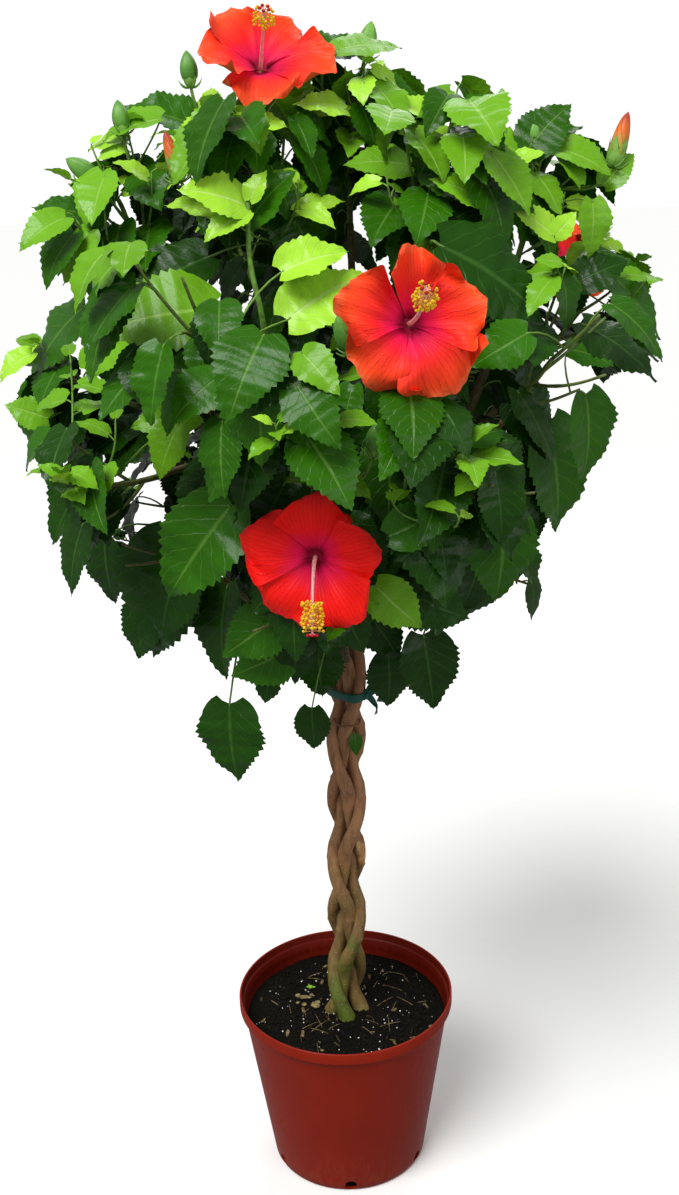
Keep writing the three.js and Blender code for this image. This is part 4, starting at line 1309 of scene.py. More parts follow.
def ball(skin, centre, radius, flat, rows=5, sides=8):
    """A ball, made lower or higher by a factor."""
    points = [centre - UP * radius * flat]
    for k in range(1, rows):
        e = -math.pi / 2 + math.pi * k / rows
        for i in range(sides):
            t = 2 * math.pi * i / sides
            ring = vec(math.cos(t) * math.cos(e), math.sin(t) * math.cos(e), math.sin(e) * flat)
            points.append(centre + ring * radius)
    points.append(centre + UP * radius * flat)
    top = len(points) - 1
    faces = [(0, 1 + (i + 1) % sides, 1 + i) for i in range(sides)]
    for k in range(rows - 2):
        for i in range(sides):
            a, b = 1 + k * sides + i, 1 + k * sides + (i + 1) % sides
            faces.append((a, b, b + sides, a + sides))
    first = 1 + (rows - 2) * sides
    faces += [(first + i, first + (i + 1) % sides, top) for i in range(sides)]
    skin.add(points, faces)


def bud(skins, feature, number):
    """A ribbed green bud in its cup; a large one shows its rolled petals."""
    foot, way, size = feature["at"], feature["way"], feature["size"]
    showing = size >= OPENING_BUD
    sides, rows = 20, 13
    body = skins["bud_petal"] if showing else skins["bud"]
    girth = 0.17 if showing else 0.24
    points, uvs = [], []
    for k in range(rows):
        v = k / (rows - 1)
        swell = math.sin(math.pi * min(1, 0.1 + 0.9 * v)) ** 0.72 if not showing else (1 - v**2.2) ** 0.62
        for i in range(sides):
            t = 2 * math.pi * i / sides
            rib = 1 + 0.07 * math.cos(5 * t + (5.5 * v if showing else 0))
            r = max(0.004, girth * swell * rib * (0.55 + 0.45 * min(1, v * 4)))
            points.append(spoke(foot, way, r * size, (0.04 + 0.94 * v) * size, t))
            uvs.append((i / sides, v))
    body.add(points, grid_faces(rows, sides, closed=True), uvs, draw(number, 95))
    green_cup(skins["cup"], foot, way, size * (0.42 if showing else 0.5), number, 1.25 if showing else 1.2)


# Bark: fine rings, ridges and swollen leaf scars


def bark_relief(seed, rough, node_step):
    """A function that swells or narrows a limb: ridges, fine grain, and a leaf scar at each node."""
    def relief(gone, angle):
        where = Vector((math.cos(angle) * 1.4 + seed * 7.3, math.sin(angle) * 1.4, gone * 0.045))
        ridge = noise.noise(where * 1.6) * 0.9 + noise.noise(where * 4.2) * 0.45
        fine = noise.noise(Vector((where.x * 5, where.y * 5, gone * 0.5)))
        turn = gone / node_step + draw(seed, 7)
        near = abs(turn - round(turn)) * node_step
        side = math.cos(angle - 2.4 * round(turn))
        scar = math.exp(-((near / 2.4) ** 2)) * (0.05 + 0.1 * max(0, side))
        return 1 + rough * (0.05 * ridge + 0.022 * fine) + scar * rough

    return relief


def stem_skin(k):
    """A stem as level rings, flatter where another crosses it, with the bark's relief."""
    skin = Skin()
    foot, top = SOIL_TOP - 4, stem_top(k) + 3
    heights = np.linspace(foot, top, STEM_RINGS)
    sides = STEM_SIDES
    relief = bark_relief(k + 1, 1.0, 41)
    points, uvs, marks = [], [], []
    for z in heights:
        at = max(z, SOIL_TOP)
        angle, _, pressed = strand(k, at)
        r = stem_radius(k, at)
        out = vec(math.cos(angle), math.sin(angle), 0)
        across = np.cross(UP, out)
        middle = strand_point(k, at) * vec(1, 1, 0) + UP * z
        for i in range(sides):
            t = 2 * math.pi * i / sides
            grown = r * relief(z, t)
            p = middle + out * (grown * pressed * math.cos(t)) + across * (grown * math.sin(t))
            points.append(p)
            uvs.append((i / sides, z / 100))
            aside, along = (p[0] - middle[0] - 3) / SCAR_HALF_WIDTH, (z - SCAR_HEIGHT) / SCAR_HALF_LENGTH
            bare = k == SCAR_STEM and p[1] < middle[1]
            marks.append(max(0.0, 1 - aside**2 - along**2) if bare else 0.0)
    n = len(heights)
    faces = grid_faces(n, sides, closed=True)
    faces += [tuple(reversed(range(sides))), tuple((n - 1) * sides + i for i in range(sides))]
    skin.add(points, faces, uvs, marks)
    return skin


def bough_skins(limbs):
    """Each bough as one tapering limb, with a collar where it leaves another."""
    skins = {}
    for n, (name, bough) in enumerate(limbs.boughs.items()):
        skin = Skin()
        points = list(bough["points"])
        r0, r1 = bough["radii"]
        if bough["leader"]:
            points[0] = points[0] - UP * 5
        path = smooth_path(points, 4.5)
        share = np.linspace(0, 1, len(path))
        collar = 0.0 if bough["leader"] else 0.4
        radii = (r0 + (r1 - r0) * share) * (1 + collar * np.exp(-share * 9))
        tube(skin, path, radii, 14, bark_relief(40 + n, 1.1, 27), 0.15 + 0.3 * share.mean())
        skins[name] = skin
    return skins


def twig_skin(plant):
    """The twigs, the green shoots, and the spurs that carry blossom and buds."""
    skin = Skin()
    for n, twig in enumerate(plant["twigs"]):
        path = smooth_path(twig["points"], 9)
        tone = 0.25 + 0.45 * min(1, max(0, (twig["points"][-1][2] - 800) / 400))
        tube(skin, path, twig["radii"], 7, bark_relief(90 + n, 1.2, 17), tone)
    for n, shoot in enumerate(plant["shoots"]):
        tube(skin, smooth_path(shoot["points"], 7), shoot["radii"], 6, bark_relief(300 + n, 0.8, 9), 0.9)
    for n, feature in enumerate(plant["features"]):
        spur = feature["spur"]
        tube(skin, smooth_path(spur["points"], 8), spur["radii"], 7, bark_relief(500 + n, 0.7, 15), 0.8)
    return skin


# Materials: one function adds a node, and each material is built from what the real one is

NOISE, VORONOI, MAPPING = "ShaderNodeTexNoise", "ShaderNodeTexVoronoi", "ShaderNodeMapping"
RANGE, MATH, MIX, SPLIT = "ShaderNodeMapRange", "ShaderNodeMath", "ShaderNodeMixRGB", "ShaderNodeSeparateXYZ"
ATTRIBUTE, UV_MAP = "ShaderNodeAttribute", "ShaderNodeUVMap"
GRAINY = 0.55


def linear(colour):
    """An sRGB hex colour as linear light."""
    parts = [int(colour[i : i + 2], 16) / 255 for i in (1, 3, 5)]
    return [c / 12.92 if c <= 0.04045 else ((c + 0.055) / 1.055) ** 2.4 for c in parts]


def rgba(colour, shade=1.0):
    """A colour for a socket, from sRGB hex or from linear light, made darker or lighter by a factor."""
    parts = linear(colour) if isinstance(colour, str) else colour
    return (*(c * shade for c in parts), 1)


def per_metre(size_mm):
    """A pattern's scale from the width of its blotches in millimetres."""
    return 1000 / size_mm


def add(tree, kind, *values, **settings):
    """Adds a node with its settings. Its values go to its sockets in order, or by name or number from one
    dictionary. A socket given as a value is linked, and so is a node, by its first output."""
    node = tree.nodes.new(kind)
    for key, value in settings.items():
        setattr(node, key, value)
    given = values[0] if values and isinstance(values[0], dict) else dict(enumerate(values))
    for socket, value in given.items():
        if isinstance(value, bpy.types.Node):
            value = value.outputs[0]
        if isinstance(value, bpy.types.NodeSocket):
            tree.links.new(value, node.inputs[socket])
        elif value is not None:
            node.inputs[socket].default_value = value
    return node


def blank_material(name):
    """A material with only its shader, its node tree, and the object's own coordinates for its patterns."""
    material = bpy.data.materials.new(name)
    material.use_nodes = True
    tree = material.node_tree
    tree.nodes.clear()
    add(tree, "ShaderNodeOutputMaterial", add(tree, "ShaderNodeBsdfPrincipled"))
    return material, tree, add(tree, "ShaderNodeTexCoord").outputs["Object"]


def finished(material, shade, relief, depth_mm, strength, **values):
    """Gives the shader its colour, its other values and its relief, and returns the material."""
    tree = material.node_tree
    shader = tree.nodes["Principled BSDF"]
    bump = add(tree, "ShaderNodeBump", {"Height": relief, "Strength": strength, "Distance": depth_mm * MM})
    for name, value in {"Base Color": shade, "Normal": bump, **values}.items():
        socket = shader.inputs[name.replace("_", " ")]
        if isinstance(value, bpy.types.Node):
            tree.links.new(value.outputs[0], socket)
        else:
            socket.default_value = value
    return material


def moulded_pot(colour, roughness):
    """Injection-moulded polypropylene: terracotta red with a soft sheen and faint scuffs, darker inside."""
    material, tree, at = blank_material("moulded terracotta polypropylene")
    tone = add(tree, ATTRIBUTE, attribute_name="tone").outputs["Fac"]
    patches = add(tree, NOISE, at, None, per_metre(60), 3.0, GRAINY)
    shade = add(tree, MIX, add(tree, RANGE, patches, 0.35, 0.65, 0, 0.5), rgba(colour), rgba(colour, 0.8))
    height = add(tree, SPLIT, at).outputs["Z"]
    stretched = add(tree, MAPPING, at, None, None, (1, 1, 0.22))
    scuffs = add(tree, NOISE, stretched, None, per_metre(5), 5.0, 0.7)
    low = add(tree, RANGE, height, 0.0, 0.07, 0.14, 0.0)
    dust = add(tree, MATH, low, add(tree, RANGE, scuffs, 0.45, 0.6), operation="MULTIPLY")
    shade = add(tree, MIX, dust, shade, rgba("#9C6650"))
    shade = add(tree, MIX, add(tree, RANGE, scuffs, 0.63, 0.74, 0.0, 0.14), shade, rgba("#A65443"))
    # The inner wall, marked by tone, is made darker, towards a dark copy of the pot's own colour
    darker_inside = add(tree, MATH, tone, add(tree, RANGE, scuffs, 0.3, 0.6, 0.9, 0.7), operation="MULTIPLY")
    shade = add(tree, MIX, darker_inside, shade, rgba(colour, 0.3))
    worn = add(tree, RANGE, scuffs, 0.3, 0.7, roughness - 0.07, roughness + 0.1)
    grain = add(tree, NOISE, at, None, per_metre(1.6), 2.0, GRAINY)
    return finished(material, shade, grain, 0.12, 0.35, Roughness=worn, IOR=1.49, Specular_IOR_Level=0.14)


def peat_mix(colour):
    """Damp peat and fine bark: nearly black, matt and crumbly, with browner dry crumbs on top."""
    material, tree, at = blank_material("peat growing mix")
    crumbs = add(tree, NOISE, at, None, per_metre(4), 6.0, 0.7)
    shade = add(tree, MIX, add(tree, RANGE, crumbs, 0.42, 0.66), rgba(colour), rgba("#12100B"))
    dry = add(tree, RANGE, add(tree, NOISE, at, None, per_metre(1.2), 3.0, GRAINY), 0.6, 0.72)
    shade = add(tree, MIX, dry, shade, rgba("#2A251B"))
    return finished(material, shade, crumbs, 1.4, 0.9, Roughness=0.92, IOR=1.4, Specular_IOR_Level=0.1)


def mottled_grain(name, colour, other, size_mm, roughness=0.85):
    """Crumbs, chips and fibres in the mix: matt and mottled between two colours."""
    material, tree, at = blank_material(name)
    mottle = add(tree, RANGE, add(tree, NOISE, at, None, per_metre(size_mm), 3.0, GRAINY), 0.38, 0.62)
    fine = add(tree, NOISE, at, None, per_metre(size_mm / 3), 3.0, GRAINY)
    shade = add(tree, MIX, mottle, rgba(colour), rgba(other))
    return finished(material, shade, fine, 0.3, 0.6, Roughness=roughness, IOR=1.45, Specular_IOR_Level=0.15)


def stem_bark(upper, middle, lower):
    """Hibiscus bark: thin and smooth, brown above, olive below and green where it still lives at the foot,
    with pale lenticels, darker streaks along it, and one pale graze of bare wood."""
    material, tree, at = blank_material("young hibiscus bark")
    tone = add(tree, ATTRIBUTE, attribute_name="tone").outputs["Fac"]
    split = add(tree, SPLIT, at)
    blotch = add(tree, NOISE, at, None, per_metre(26), 4.0, GRAINY)
    ragged = add(tree, RANGE, blotch, 0.3, 0.7, -0.07, 0.07)
    height = add(tree, MATH, split.outputs["Z"], ragged, operation="ADD")
    shade = add(tree, MIX, add(tree, RANGE, height, 0.27, 0.5), rgba(middle), rgba(upper))
    front = add(tree, RANGE, split.outputs["Y"], -0.004, -0.02)
    foot = add(tree, MATH, add(tree, RANGE, height, 0.3, 0.215), front, operation="MULTIPLY")
    shade = add(tree, MIX, foot, shade, rgba(lower))
    stretched = add(tree, MAPPING, at, None, None, (1, 1, 0.16))
    streaks = add(tree, NOISE, stretched, None, per_metre(7), 6.0, 0.65)
    shade = add(tree, MIX, add(tree, RANGE, streaks, 0.44, 0.64, 0, 0.5), shade, rgba("#46321F"))
    dots = add(tree, VORONOI, add(tree, MAPPING, at, None, None, (1, 1, 1.6)), None, 190.0)
    lenticels = add(tree, RANGE, dots, 0.24, 0.1, 0, 0.55)
    shade = add(tree, MIX, lenticels, shade, rgba("#B79F78"))
    scar = add(tree, RANGE, add(tree, MATH, streaks, -0.5, tone, operation="MULTIPLY_ADD"), 0.02, 0.2)
    wood = add(tree, MIX, add(tree, RANGE, streaks, 0.4, 0.6), rgba("#E2BC86"), rgba("#A8703E"))
    shade = add(tree, MIX, scar, shade, wood)
    relief = add(tree, MATH, streaks, lenticels, operation="ADD")
    rough = add(tree, RANGE, streaks, 0.3, 0.7, 0.5, 0.78)
    return finished(material, shade, relief, 0.9, 0.75, Roughness=rough, IOR=1.45)


def limb_bark(name, old, young):
    """Bark of boughs and twigs: brown where old, green to the tips, with fine streaks and pale lenticels."""
    material, tree, at = blank_material(name)
    tone = add(tree, ATTRIBUTE, attribute_name="tone").outputs["Fac"]
    shade = add(tree, MIX, tone, rgba(old), rgba(young))
    streaks = add(tree, NOISE, at, None, per_metre(5), 5.0, GRAINY)
    shade = add(tree, MIX, add(tree, RANGE, streaks, 0.46, 0.66, 0, 0.5), shade, rgba(old, 0.42))
    dots = add(tree, VORONOI, at, None, 260.0)
    shade = add(tree, MIX, add(tree, RANGE, dots, 0.2, 0.1, 0, 0.4), shade, rgba("#A9936C"))
    return finished(material, shade, streaks, 0.5, 0.6, Roughness=0.6, IOR=1.45)


def leaf_blade(name, colour, lift, vein, roughness, wax):
    """A hibiscus leaf: waxy and glossy, quilted between sunken paler veins, each leaf a little lighter or
    darker."""
    material, tree, at = blank_material(name)
    tone = add(tree, ATTRIBUTE, attribute_name="tone").outputs["Fac"]
    across, along = add(tree, SPLIT, add(tree, UV_MAP, uv_map="UVMap")).outputs[:2]
    middle = add(tree, MATH, across, 0.5, operation="SUBTRACT")
    aside = add(tree, MATH, add(tree, MATH, middle, operation="ABSOLUTE"), 2.0, operation="MULTIPLY")
    rows = add(tree, MATH, along, 7.0, operation="MULTIPLY")
    slant = add(tree, MATH, aside, -1.9, rows, operation="MULTIPLY_ADD")
    side = add(tree, RANGE, add(tree, MATH, slant, 0.5, operation="PINGPONG"), 0.0, 0.06, 1, 0)
    midrib = add(tree, RANGE, aside, 0.02, 0.075, 1, 0)
    side = add(tree, MATH, side, 0.6, operation="MULTIPLY")
    veins = add(tree, MATH, midrib, side, operation="MAXIMUM")
    mottle = add(tree, NOISE, at, None, per_metre(22), 4.0, GRAINY)
    own = add(tree, MATH, tone, 0.75, -0.42, operation="MULTIPLY_ADD")
    share = add(tree, RANGE, add(tree, MATH, mottle, 0.9, own, operation="MULTIPLY_ADD"), 0.0, 1.0)
    shade = add(tree, MIX, share, rgba(colour), rgba(colour, lift))
    pale = add(tree, MATH, veins, 0.36, operation="MULTIPLY")
    shade = add(tree, MIX, pale, shade, rgba(vein))
    pucker = add(tree, NOISE, at, None, per_metre(6), 2.0, GRAINY)
    pucker = add(tree, MATH, pucker, 0.9, operation="MULTIPLY")
    quilt = add(tree, MATH, veins, -0.8, pucker, operation="MULTIPLY_ADD")
    rough = add(tree, RANGE, mottle, 0.3, 0.7, roughness - 0.05, roughness + 0.08)
    gloss = {"Specular_IOR_Level": 0.17, "Coat_Weight": wax, "Coat_Roughness": 0.16}
    return finished(material, shade, quilt, 1.1, 0.55, Roughness=rough, IOR=1.46, **gloss)


def soft_petal(name, outer, inner, throat, edge):
    """Petal: satin and finely crinkled, deepening to a magenta throat, with darker veins that fan out."""
    material, tree, at = blank_material(name)
    across, along = add(tree, SPLIT, add(tree, UV_MAP, uv_map="UVMap")).outputs[:2]
    ripple = add(tree, NOISE, at, None, per_metre(9), 4.0, GRAINY)
    from_claw = add(tree, MATH, along, 0.08, operation="SUBTRACT")
    reach = add(tree, MATH, ripple, 0.16, from_claw, operation="MULTIPLY_ADD")
    shade = add(tree, MIX, add(tree, RANGE, reach, 0.4, 0.85), rgba(inner), rgba(outer))
    shade = add(tree, MIX, add(tree, RANGE, reach, 0.42, 0.14), shade, rgba(throat))
    shade = add(tree, MIX, add(tree, RANGE, along, 0.15, 0.03), shade, rgba(throat, 0.35))
    middle = add(tree, MATH, across, 0.5, operation="SUBTRACT")
    fan = add(tree, MATH, middle, 17.0, operation="MULTIPLY")
    wander = add(tree, MATH, ripple, 1.2, fan, operation="MULTIPLY_ADD")
    veins = add(tree, RANGE, add(tree, MATH, wander, 0.5, operation="PINGPONG"), 0.0, 0.16, 1, 0)
    shade = add(tree, MIX, add(tree, MATH, veins, 0.26, operation="MULTIPLY"), shade, rgba(inner, 0.5))
    rim = add(tree, RANGE, along, 0.84, 1.0)
    rim = add(tree, MATH, rim, add(tree, RANGE, ripple, 0.42, 0.58), operation="MULTIPLY")
    shade = add(tree, MIX, add(tree, MATH, rim, 0.75, operation="MULTIPLY"), shade, rgba(edge))
    relief = add(tree, MATH, veins, -0.5, ripple, operation="MULTIPLY_ADD")
    satin = {"Specular_IOR_Level": 0.25, "Sheen_Weight": 0.06, "Sheen_Roughness": 0.4}
    return finished(material, shade, relief, 0.9, 0.55, Roughness=0.5, IOR=1.4, **satin)


def soft_green(name, low, high, size_mm=8, roughness=0.5):
    """Calyx, bud or stalk: smooth green flesh, mottled between a darker and a lighter green."""
    material, tree, at = blank_material(name)
    tone = add(tree, ATTRIBUTE, attribute_name="tone").outputs["Fac"]
    own = add(tree, MATH, tone, 0.8, -0.4, operation="MULTIPLY_ADD")
    blotch = add(tree, NOISE, at, None, per_metre(size_mm), 3.0, GRAINY)
    share = add(tree, RANGE, add(tree, MATH, blotch, 0.8, own, operation="MULTIPLY_ADD"), 0.0, 1.0)
    fine = add(tree, NOISE, at, None, per_metre(size_mm / 4), 3.0, GRAINY)
    shade = add(tree, MIX, share, rgba(low), rgba(high))
    return finished(material, shade, fine, 0.25, 0.5, Roughness=roughness, IOR=1.42)


def rolled_petal(base, tip):
    """Rolled petals of an opening bud: yellow-green where they leave the cup, then orange, with a dry tip."""
    material, tree, _ = blank_material("rolled petals")
    across, along = add(tree, SPLIT, add(tree, UV_MAP, uv_map="UVMap")).outputs[:2]
    shade = add(tree, MIX, add(tree, RANGE, along, 0.28, 0.62), rgba("#8FA63A"), rgba(base))
    shade = add(tree, MIX, add(tree, RANGE, along, 0.7, 0.9), shade, rgba(tip))
    # Painted shade: dark brown lines run along the spiral creases between the rolled petals, where shade falls;
    # the same lines give the relief
    rising = add(tree, MATH, along, 4.0, operation="MULTIPLY")
    spiral = add(tree, MATH, across, 10.0, rising, operation="MULTIPLY_ADD")
    fold = add(tree, RANGE, add(tree, MATH, spiral, 0.5, operation="PINGPONG"), 0.0, 0.2, 0.5, 0)
    shade = add(tree, MIX, fold, shade, rgba("#7E3A16"))
    return finished(material, shade, fold, 0.6, 0.5, Roughness=0.5, IOR=1.42)


def plain(name, colour, roughness, size_mm=2.0, depth_mm=0.1):
    """A small part of one colour with a fine grain of its own."""
    material, tree, at = blank_material(name)
    grain = add(tree, NOISE, at, None, per_metre(size_mm), 3.0, GRAINY)
    shade = add(tree, MIX, add(tree, RANGE, grain, 0.35, 0.65), rgba(colour, 0.72), rgba(colour))
    return finished(material, shade, grain, depth_mm, 0.5, Roughness=roughness, IOR=1.45)


def floor_finish(colour):
    """Matt pale studio floor, the same all over."""
    material, tree, _ = blank_material("matt studio floor")
    tree.nodes["Principled BSDF"].inputs["Base Color"].default_value = rgba(colour)
    tree.nodes["Principled BSDF"].inputs["Roughness"].default_value = 0.9
    return material


# Geometry Nodes: grit scattered on the mix, and stamens round the column


def scatter_tree(name, shape, material, turn_to_surface):
    """A tree that scatters one small shape over a surface and gives back only the scattered shapes."""
    tree = bpy.data.node_groups.new(name, "GeometryNodeTree")
    face = tree.interface
    face.new_socket("Surface", in_out="INPUT", socket_type="NodeSocketGeometry")
    for label in ("Per square metre", "Smallest", "Largest", "Length", "Thickness"):
        face.new_socket(label, in_out="INPUT", socket_type="NodeSocketFloat")
    face.new_socket("Seed", in_out="INPUT", socket_type="NodeSocketInt")
    face.new_socket("Shapes", in_out="OUTPUT", socket_type="NodeSocketGeometry")
    given = add(tree, "NodeGroupInput").outputs
    inputs = {"Mesh": given["Surface"], "Density": given["Per square metre"], "Seed": given["Seed"]}
    spread = add(tree, "GeometryNodeDistributePointsOnFaces", inputs)
    one = shape(tree, given)
    limits = {"Min": given["Smallest"], "Max": given["Largest"], "Seed": given["Seed"]}
    size = add(tree, "FunctionNodeRandomValue", limits, data_type="FLOAT")
    pose = spread.outputs["Rotation"]
    if not turn_to_surface:
        whole_turns = {0: (0, 0, 0), 1: (6.28, 6.28, 6.28)}
        pose = add(tree, "FunctionNodeRandomValue", whole_turns, data_type="FLOAT_VECTOR")
    inputs = {"Points": spread, "Instance": one, "Rotation": pose, "Scale": size.outputs[1]}
    real = add(tree, "GeometryNodeRealizeInstances", add(tree, "GeometryNodeInstanceOnPoints", inputs))
    if material is not None:
        real = add(tree, "GeometryNodeSetMaterial", {"Geometry": real, "Material": material})
    add(tree, "NodeGroupOutput", {"Shapes": real})
    return tree


def grain_shape(tree, given):
    """A crumb: a ball of twenty faces, flattened and lopsided."""
    crumb = add(tree, "GeometryNodeMeshIcoSphere", {"Radius": 0.5, "Subdivisions": 1})
    rough = add(tree, NOISE, {"Scale": 2.3}).outputs["Color"]
    push = add(tree, "ShaderNodeVectorMath", rough, (-0.5, -0.5, -0.5), operation="ADD")
    moved = add(tree, "GeometryNodeSetPosition", {"Geometry": crumb, "Offset": push})
    lengths = add(tree, "ShaderNodeCombineXYZ", given["Length"], 1.0, given["Thickness"])
    return add(tree, "GeometryNodeTransform", {"Geometry": moved, "Scale": lengths})


def stamen_shape(tree, given):
    """A filament with a round anther at its end, standing along Z."""
    inputs = {"Vertices": 4, "Radius": given["Thickness"], "Depth": given["Length"]}
    filament = add(tree, "GeometryNodeMeshCylinder", inputs)
    half = add(tree, MATH, given["Length"], 0.5, operation="MULTIPLY")
    fat = add(tree, MATH, given["Thickness"], ANTHER_TO_FILAMENT, operation="MULTIPLY")
    anther = add(tree, "GeometryNodeMeshIcoSphere", {"Radius": fat, "Subdivisions": 1})
    joined = add(tree, "GeometryNodeJoinGeometry")
    parts = ((filament, half, "stamen filament"), (anther, given["Length"], "pollen"))
    for part, height, finish_name in parts:
        raised = add(tree, "ShaderNodeCombineXYZ", {"Z": height})
        stood = add(tree, "GeometryNodeTransform", {"Geometry": part, "Translation": raised})
        inputs = {"Geometry": stood, "Material": bpy.data.materials[finish_name]}
        tree.links.new(add(tree, "GeometryNodeSetMaterial", inputs).outputs[0], joined.inputs[0])
    return joined


def mesh_after_modifiers(made):
    """The object's mesh once its modifiers have run, as a plain mesh."""
    bpy.context.view_layer.update()
    ready = made.evaluated_get(bpy.context.evaluated_depsgraph_get())
    return bpy.data.meshes.new_from_object(ready)


def scatter(name, surface, tree, values, *materials):
    """Runs a scatter tree on a surface and keeps the result as a plain mesh."""
    host = put(name + "_host", surface)
    modifier = host.modifiers.new("Scatter", "NODES")
    modifier.node_group = tree
    for item in tree.interface.items_tree:
        if item.in_out == "INPUT" and item.name in values:
            modifier[item.identifier] = values[item.name]
    mesh = mesh_after_modifiers(host)
    mesh.name = name
    bpy.data.objects.remove(host)
    if not mesh.polygons:
        raise RuntimeError(name + " scattered nothing")
    for n, material in enumerate(materials):
        if n < len(mesh.materials):
            mesh.materials[n] = material
        else:
            mesh.materials.append(material)
    return put(name, mesh)


def keep(made, slot="", *nodes):
    """Makes a finished piece ride on the plant's body and hides the nodes that it stands in for; its slot is
    not used.
    """
    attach(made, "root")
    if nodes:
        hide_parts(*nodes)
    return made


# Settings


def length_property(label, text, default):
    return bpy.props.FloatProperty(name=label, description=text, default=default, unit="LENGTH", precision=4)


def share_property(label, text, default):
    kind = {"min": 0.0, "max": 1.0, "subtype": "FACTOR"}
    return bpy.props.FloatProperty(name=label, description=text, default=default, **kind)


def amount_property(label, text, default, unit="NONE"):
    return bpy.props.FloatProperty(name=label, description=text, default=default, min=0.0, unit=unit)


def colour_property(label, text, default):
    kind = {"size": 3, "min": 0.0, "max": 1.0, "subtype": "COLOR"}
    return bpy.props.FloatVectorProperty(name=label, description=text, default=linear(default), **kind)


class PotSettings(bpy.types.PropertyGroup):
    """The pot and the mix in it"""

    colour: colour_property("Pot colour", "Colour of the moulded pot", "#881F0C")
    roughness: share_property("Pot roughness", "Roughness of the moulded wall", 0.4)
    lip_radius: length_property("Lip radius", "Rounding of the rim's edges", 0.0011)
    soil: colour_property("Mix colour", "Colour of the damp growing mix", "#0C0B08")
    perlite: amount_property("Perlite", "Grains of perlite on each square metre", 3000.0)
    crumbs: amount_property("Crumbs", "Crumbs of bark on each square metre", 30000.0)


class PlantSettings(bpy.types.PropertyGroup):
    """Stems, boughs and leaves"""

    tooth_depth: share_property("Tooth depth", "Depth of a leaf's teeth, as a share of its half width", 0.065)
    bark_upper: colour_property("Upper bark", "Colour of the stems near the fork", "#A5744E")
    bark_middle: colour_property("Middle bark", "Colour of the stems half way down", "#7E6535")
    bark_lower: colour_property("Lower bark", "Colour of the living green foot", "#5C6E20")
    bough: colour_property("Bough bark", "Colour of old boughs", "#5D4030")
    twig: colour_property("Young twig", "Colour of the youngest twigs", "#6FA33A")
    # Leaf colours by group; besides age, the groups hold painted light and shade, with high and outer leaves in
    # the lighter groups and low and inner ones in the darker
    deep: colour_property("Deep leaf", "Colour of old shaded leaves", "#163804")
    mature: colour_property("Mature leaf", "Colour of grown leaves", "#275804")
    fresh: colour_property("Fresh leaf", "Colour of new grown leaves", "#649C18")
    young: colour_property("Young leaf", "Colour of leaves just opened", "#9CD234")


class FlowerSettings(bpy.types.PropertyGroup):
    """Blossom and its stamens"""

    scarlet: colour_property("Scarlet", "Outer colour of the upper blossoms", "#FF4A1A")
    crimson: colour_property("Crimson", "Outer colour of the lowest blossom", "#FF1A0C")
    throat: colour_property("Throat", "Colour of the throat", "#EC1058")
    pollen: colour_property("Pollen", "Colour of the anthers", "#FFD01C")
    stamens: amount_property("Stamens", "Stamens on each square metre of the column", 640000.0)
    filament: length_property("Filament", "Length of a stamen's filament", 0.0076)


class StageSettings(bpy.types.PropertyGroup):
    """Floor and lights"""

    floor: colour_property("Floor", "Colour of the floor", "#F4F4F2")
    key: amount_property("Key light", "Strength of the soft key light", 3.0)
    fill: amount_property("Fill light", "Power of each soft fill light", 17.0, "POWER")
    sky: amount_property("Surround", "Strength of the pale surround", 0.34)


# Operators


def wall_radius(z):
    """The pot's outer radius at a height below its rim band."""
    return POT_FOOT_RADIUS + (POT_RIM_RADIUS - RIM_STEP - POT_FOOT_RADIUS) * z / BAND_FOOT


def pot_profile(lip):
    """The pot's outline up the outside, and from the lip down the inside, as pairs of radius and height."""
    rim, bore, foot = POT_RIM_RADIUS, POT_RIM_RADIUS - POT_WALL, POT_FOOT_RADIUS
    outside = [(0.01, 0), (foot - 6, 0), (foot - 3, 0), (foot - 1.2, 0.9)]
    outside += [(wall_radius(z), z) for z in np.linspace(3, BAND_FOOT - 2.2, 26)]
    outside += [(wall_radius(BAND_FOOT) + 0.3, BAND_FOOT - 0.8), (rim - lip, BAND_FOOT + 0.2)]
    outside += [(rim, BAND_FOOT + lip), (rim, POT_HEIGHT - lip)]
    outside += [(rim - lip * 0.4, POT_HEIGHT - lip * 0.3), (rim - lip, POT_HEIGHT)]
    outside += [(bore + 0.5, POT_HEIGHT - 0.1)]
    ledge = bore - 0.6
    inside = [(bore, POT_HEIGHT - 1), (ledge, BAND_FOOT + 5)]
    inside += [(ledge - 0.4, BAND_FOOT + 4.2), (ledge - 2.2, BAND_FOOT + 3.2)]
    for z in np.linspace(BAND_FOOT - 2, SOIL_TOP - 12, 9):
        ripple = WALL_RIPPLE if round(z) % 4 < 2 else 0
        inside.append((wall_radius(z) - POT_WALL + ripple, z))
    inside += [(wall_radius(POT_FLOOR) - POT_WALL, POT_FLOOR), (0.01, POT_FLOOR)]
    return outside, inside


class HIBISCUS_OT_pot(bpy.types.Operator):
    """Makes the moulded nursery pot with its rim band, rounded lip and drain holes"""

    bl_idname = "hibiscus.pot"
    bl_label = "Pot"

    def execute(self, context):
        settings = context.scene.pot_settings
        outside, inside = pot_profile(settings.lip_radius / MM)
        angles = 2 * math.pi * np.arange(POT_SIDES) / POT_SIDES
        skin = Skin()
        for k, (r, z) in enumerate(outside + inside):
            ring = np.stack([r * np.cos(angles), r * np.sin(angles), np.full(POT_SIDES, z)], axis=1)
            # tone marks the inner wall, which the pot's material makes darker
            skin.add(ring, [], tone=float(k >= len(outside)))
        skin.faces = grid_faces(len(outside + inside), POT_SIDES, closed=True)
        made = skin.piece("nursery_pot", moulded_pot(settings.colour, settings.roughness))
        drill_drains(made)
        keep(made, "pot_plastic", "pot")
        return {"FINISHED"}


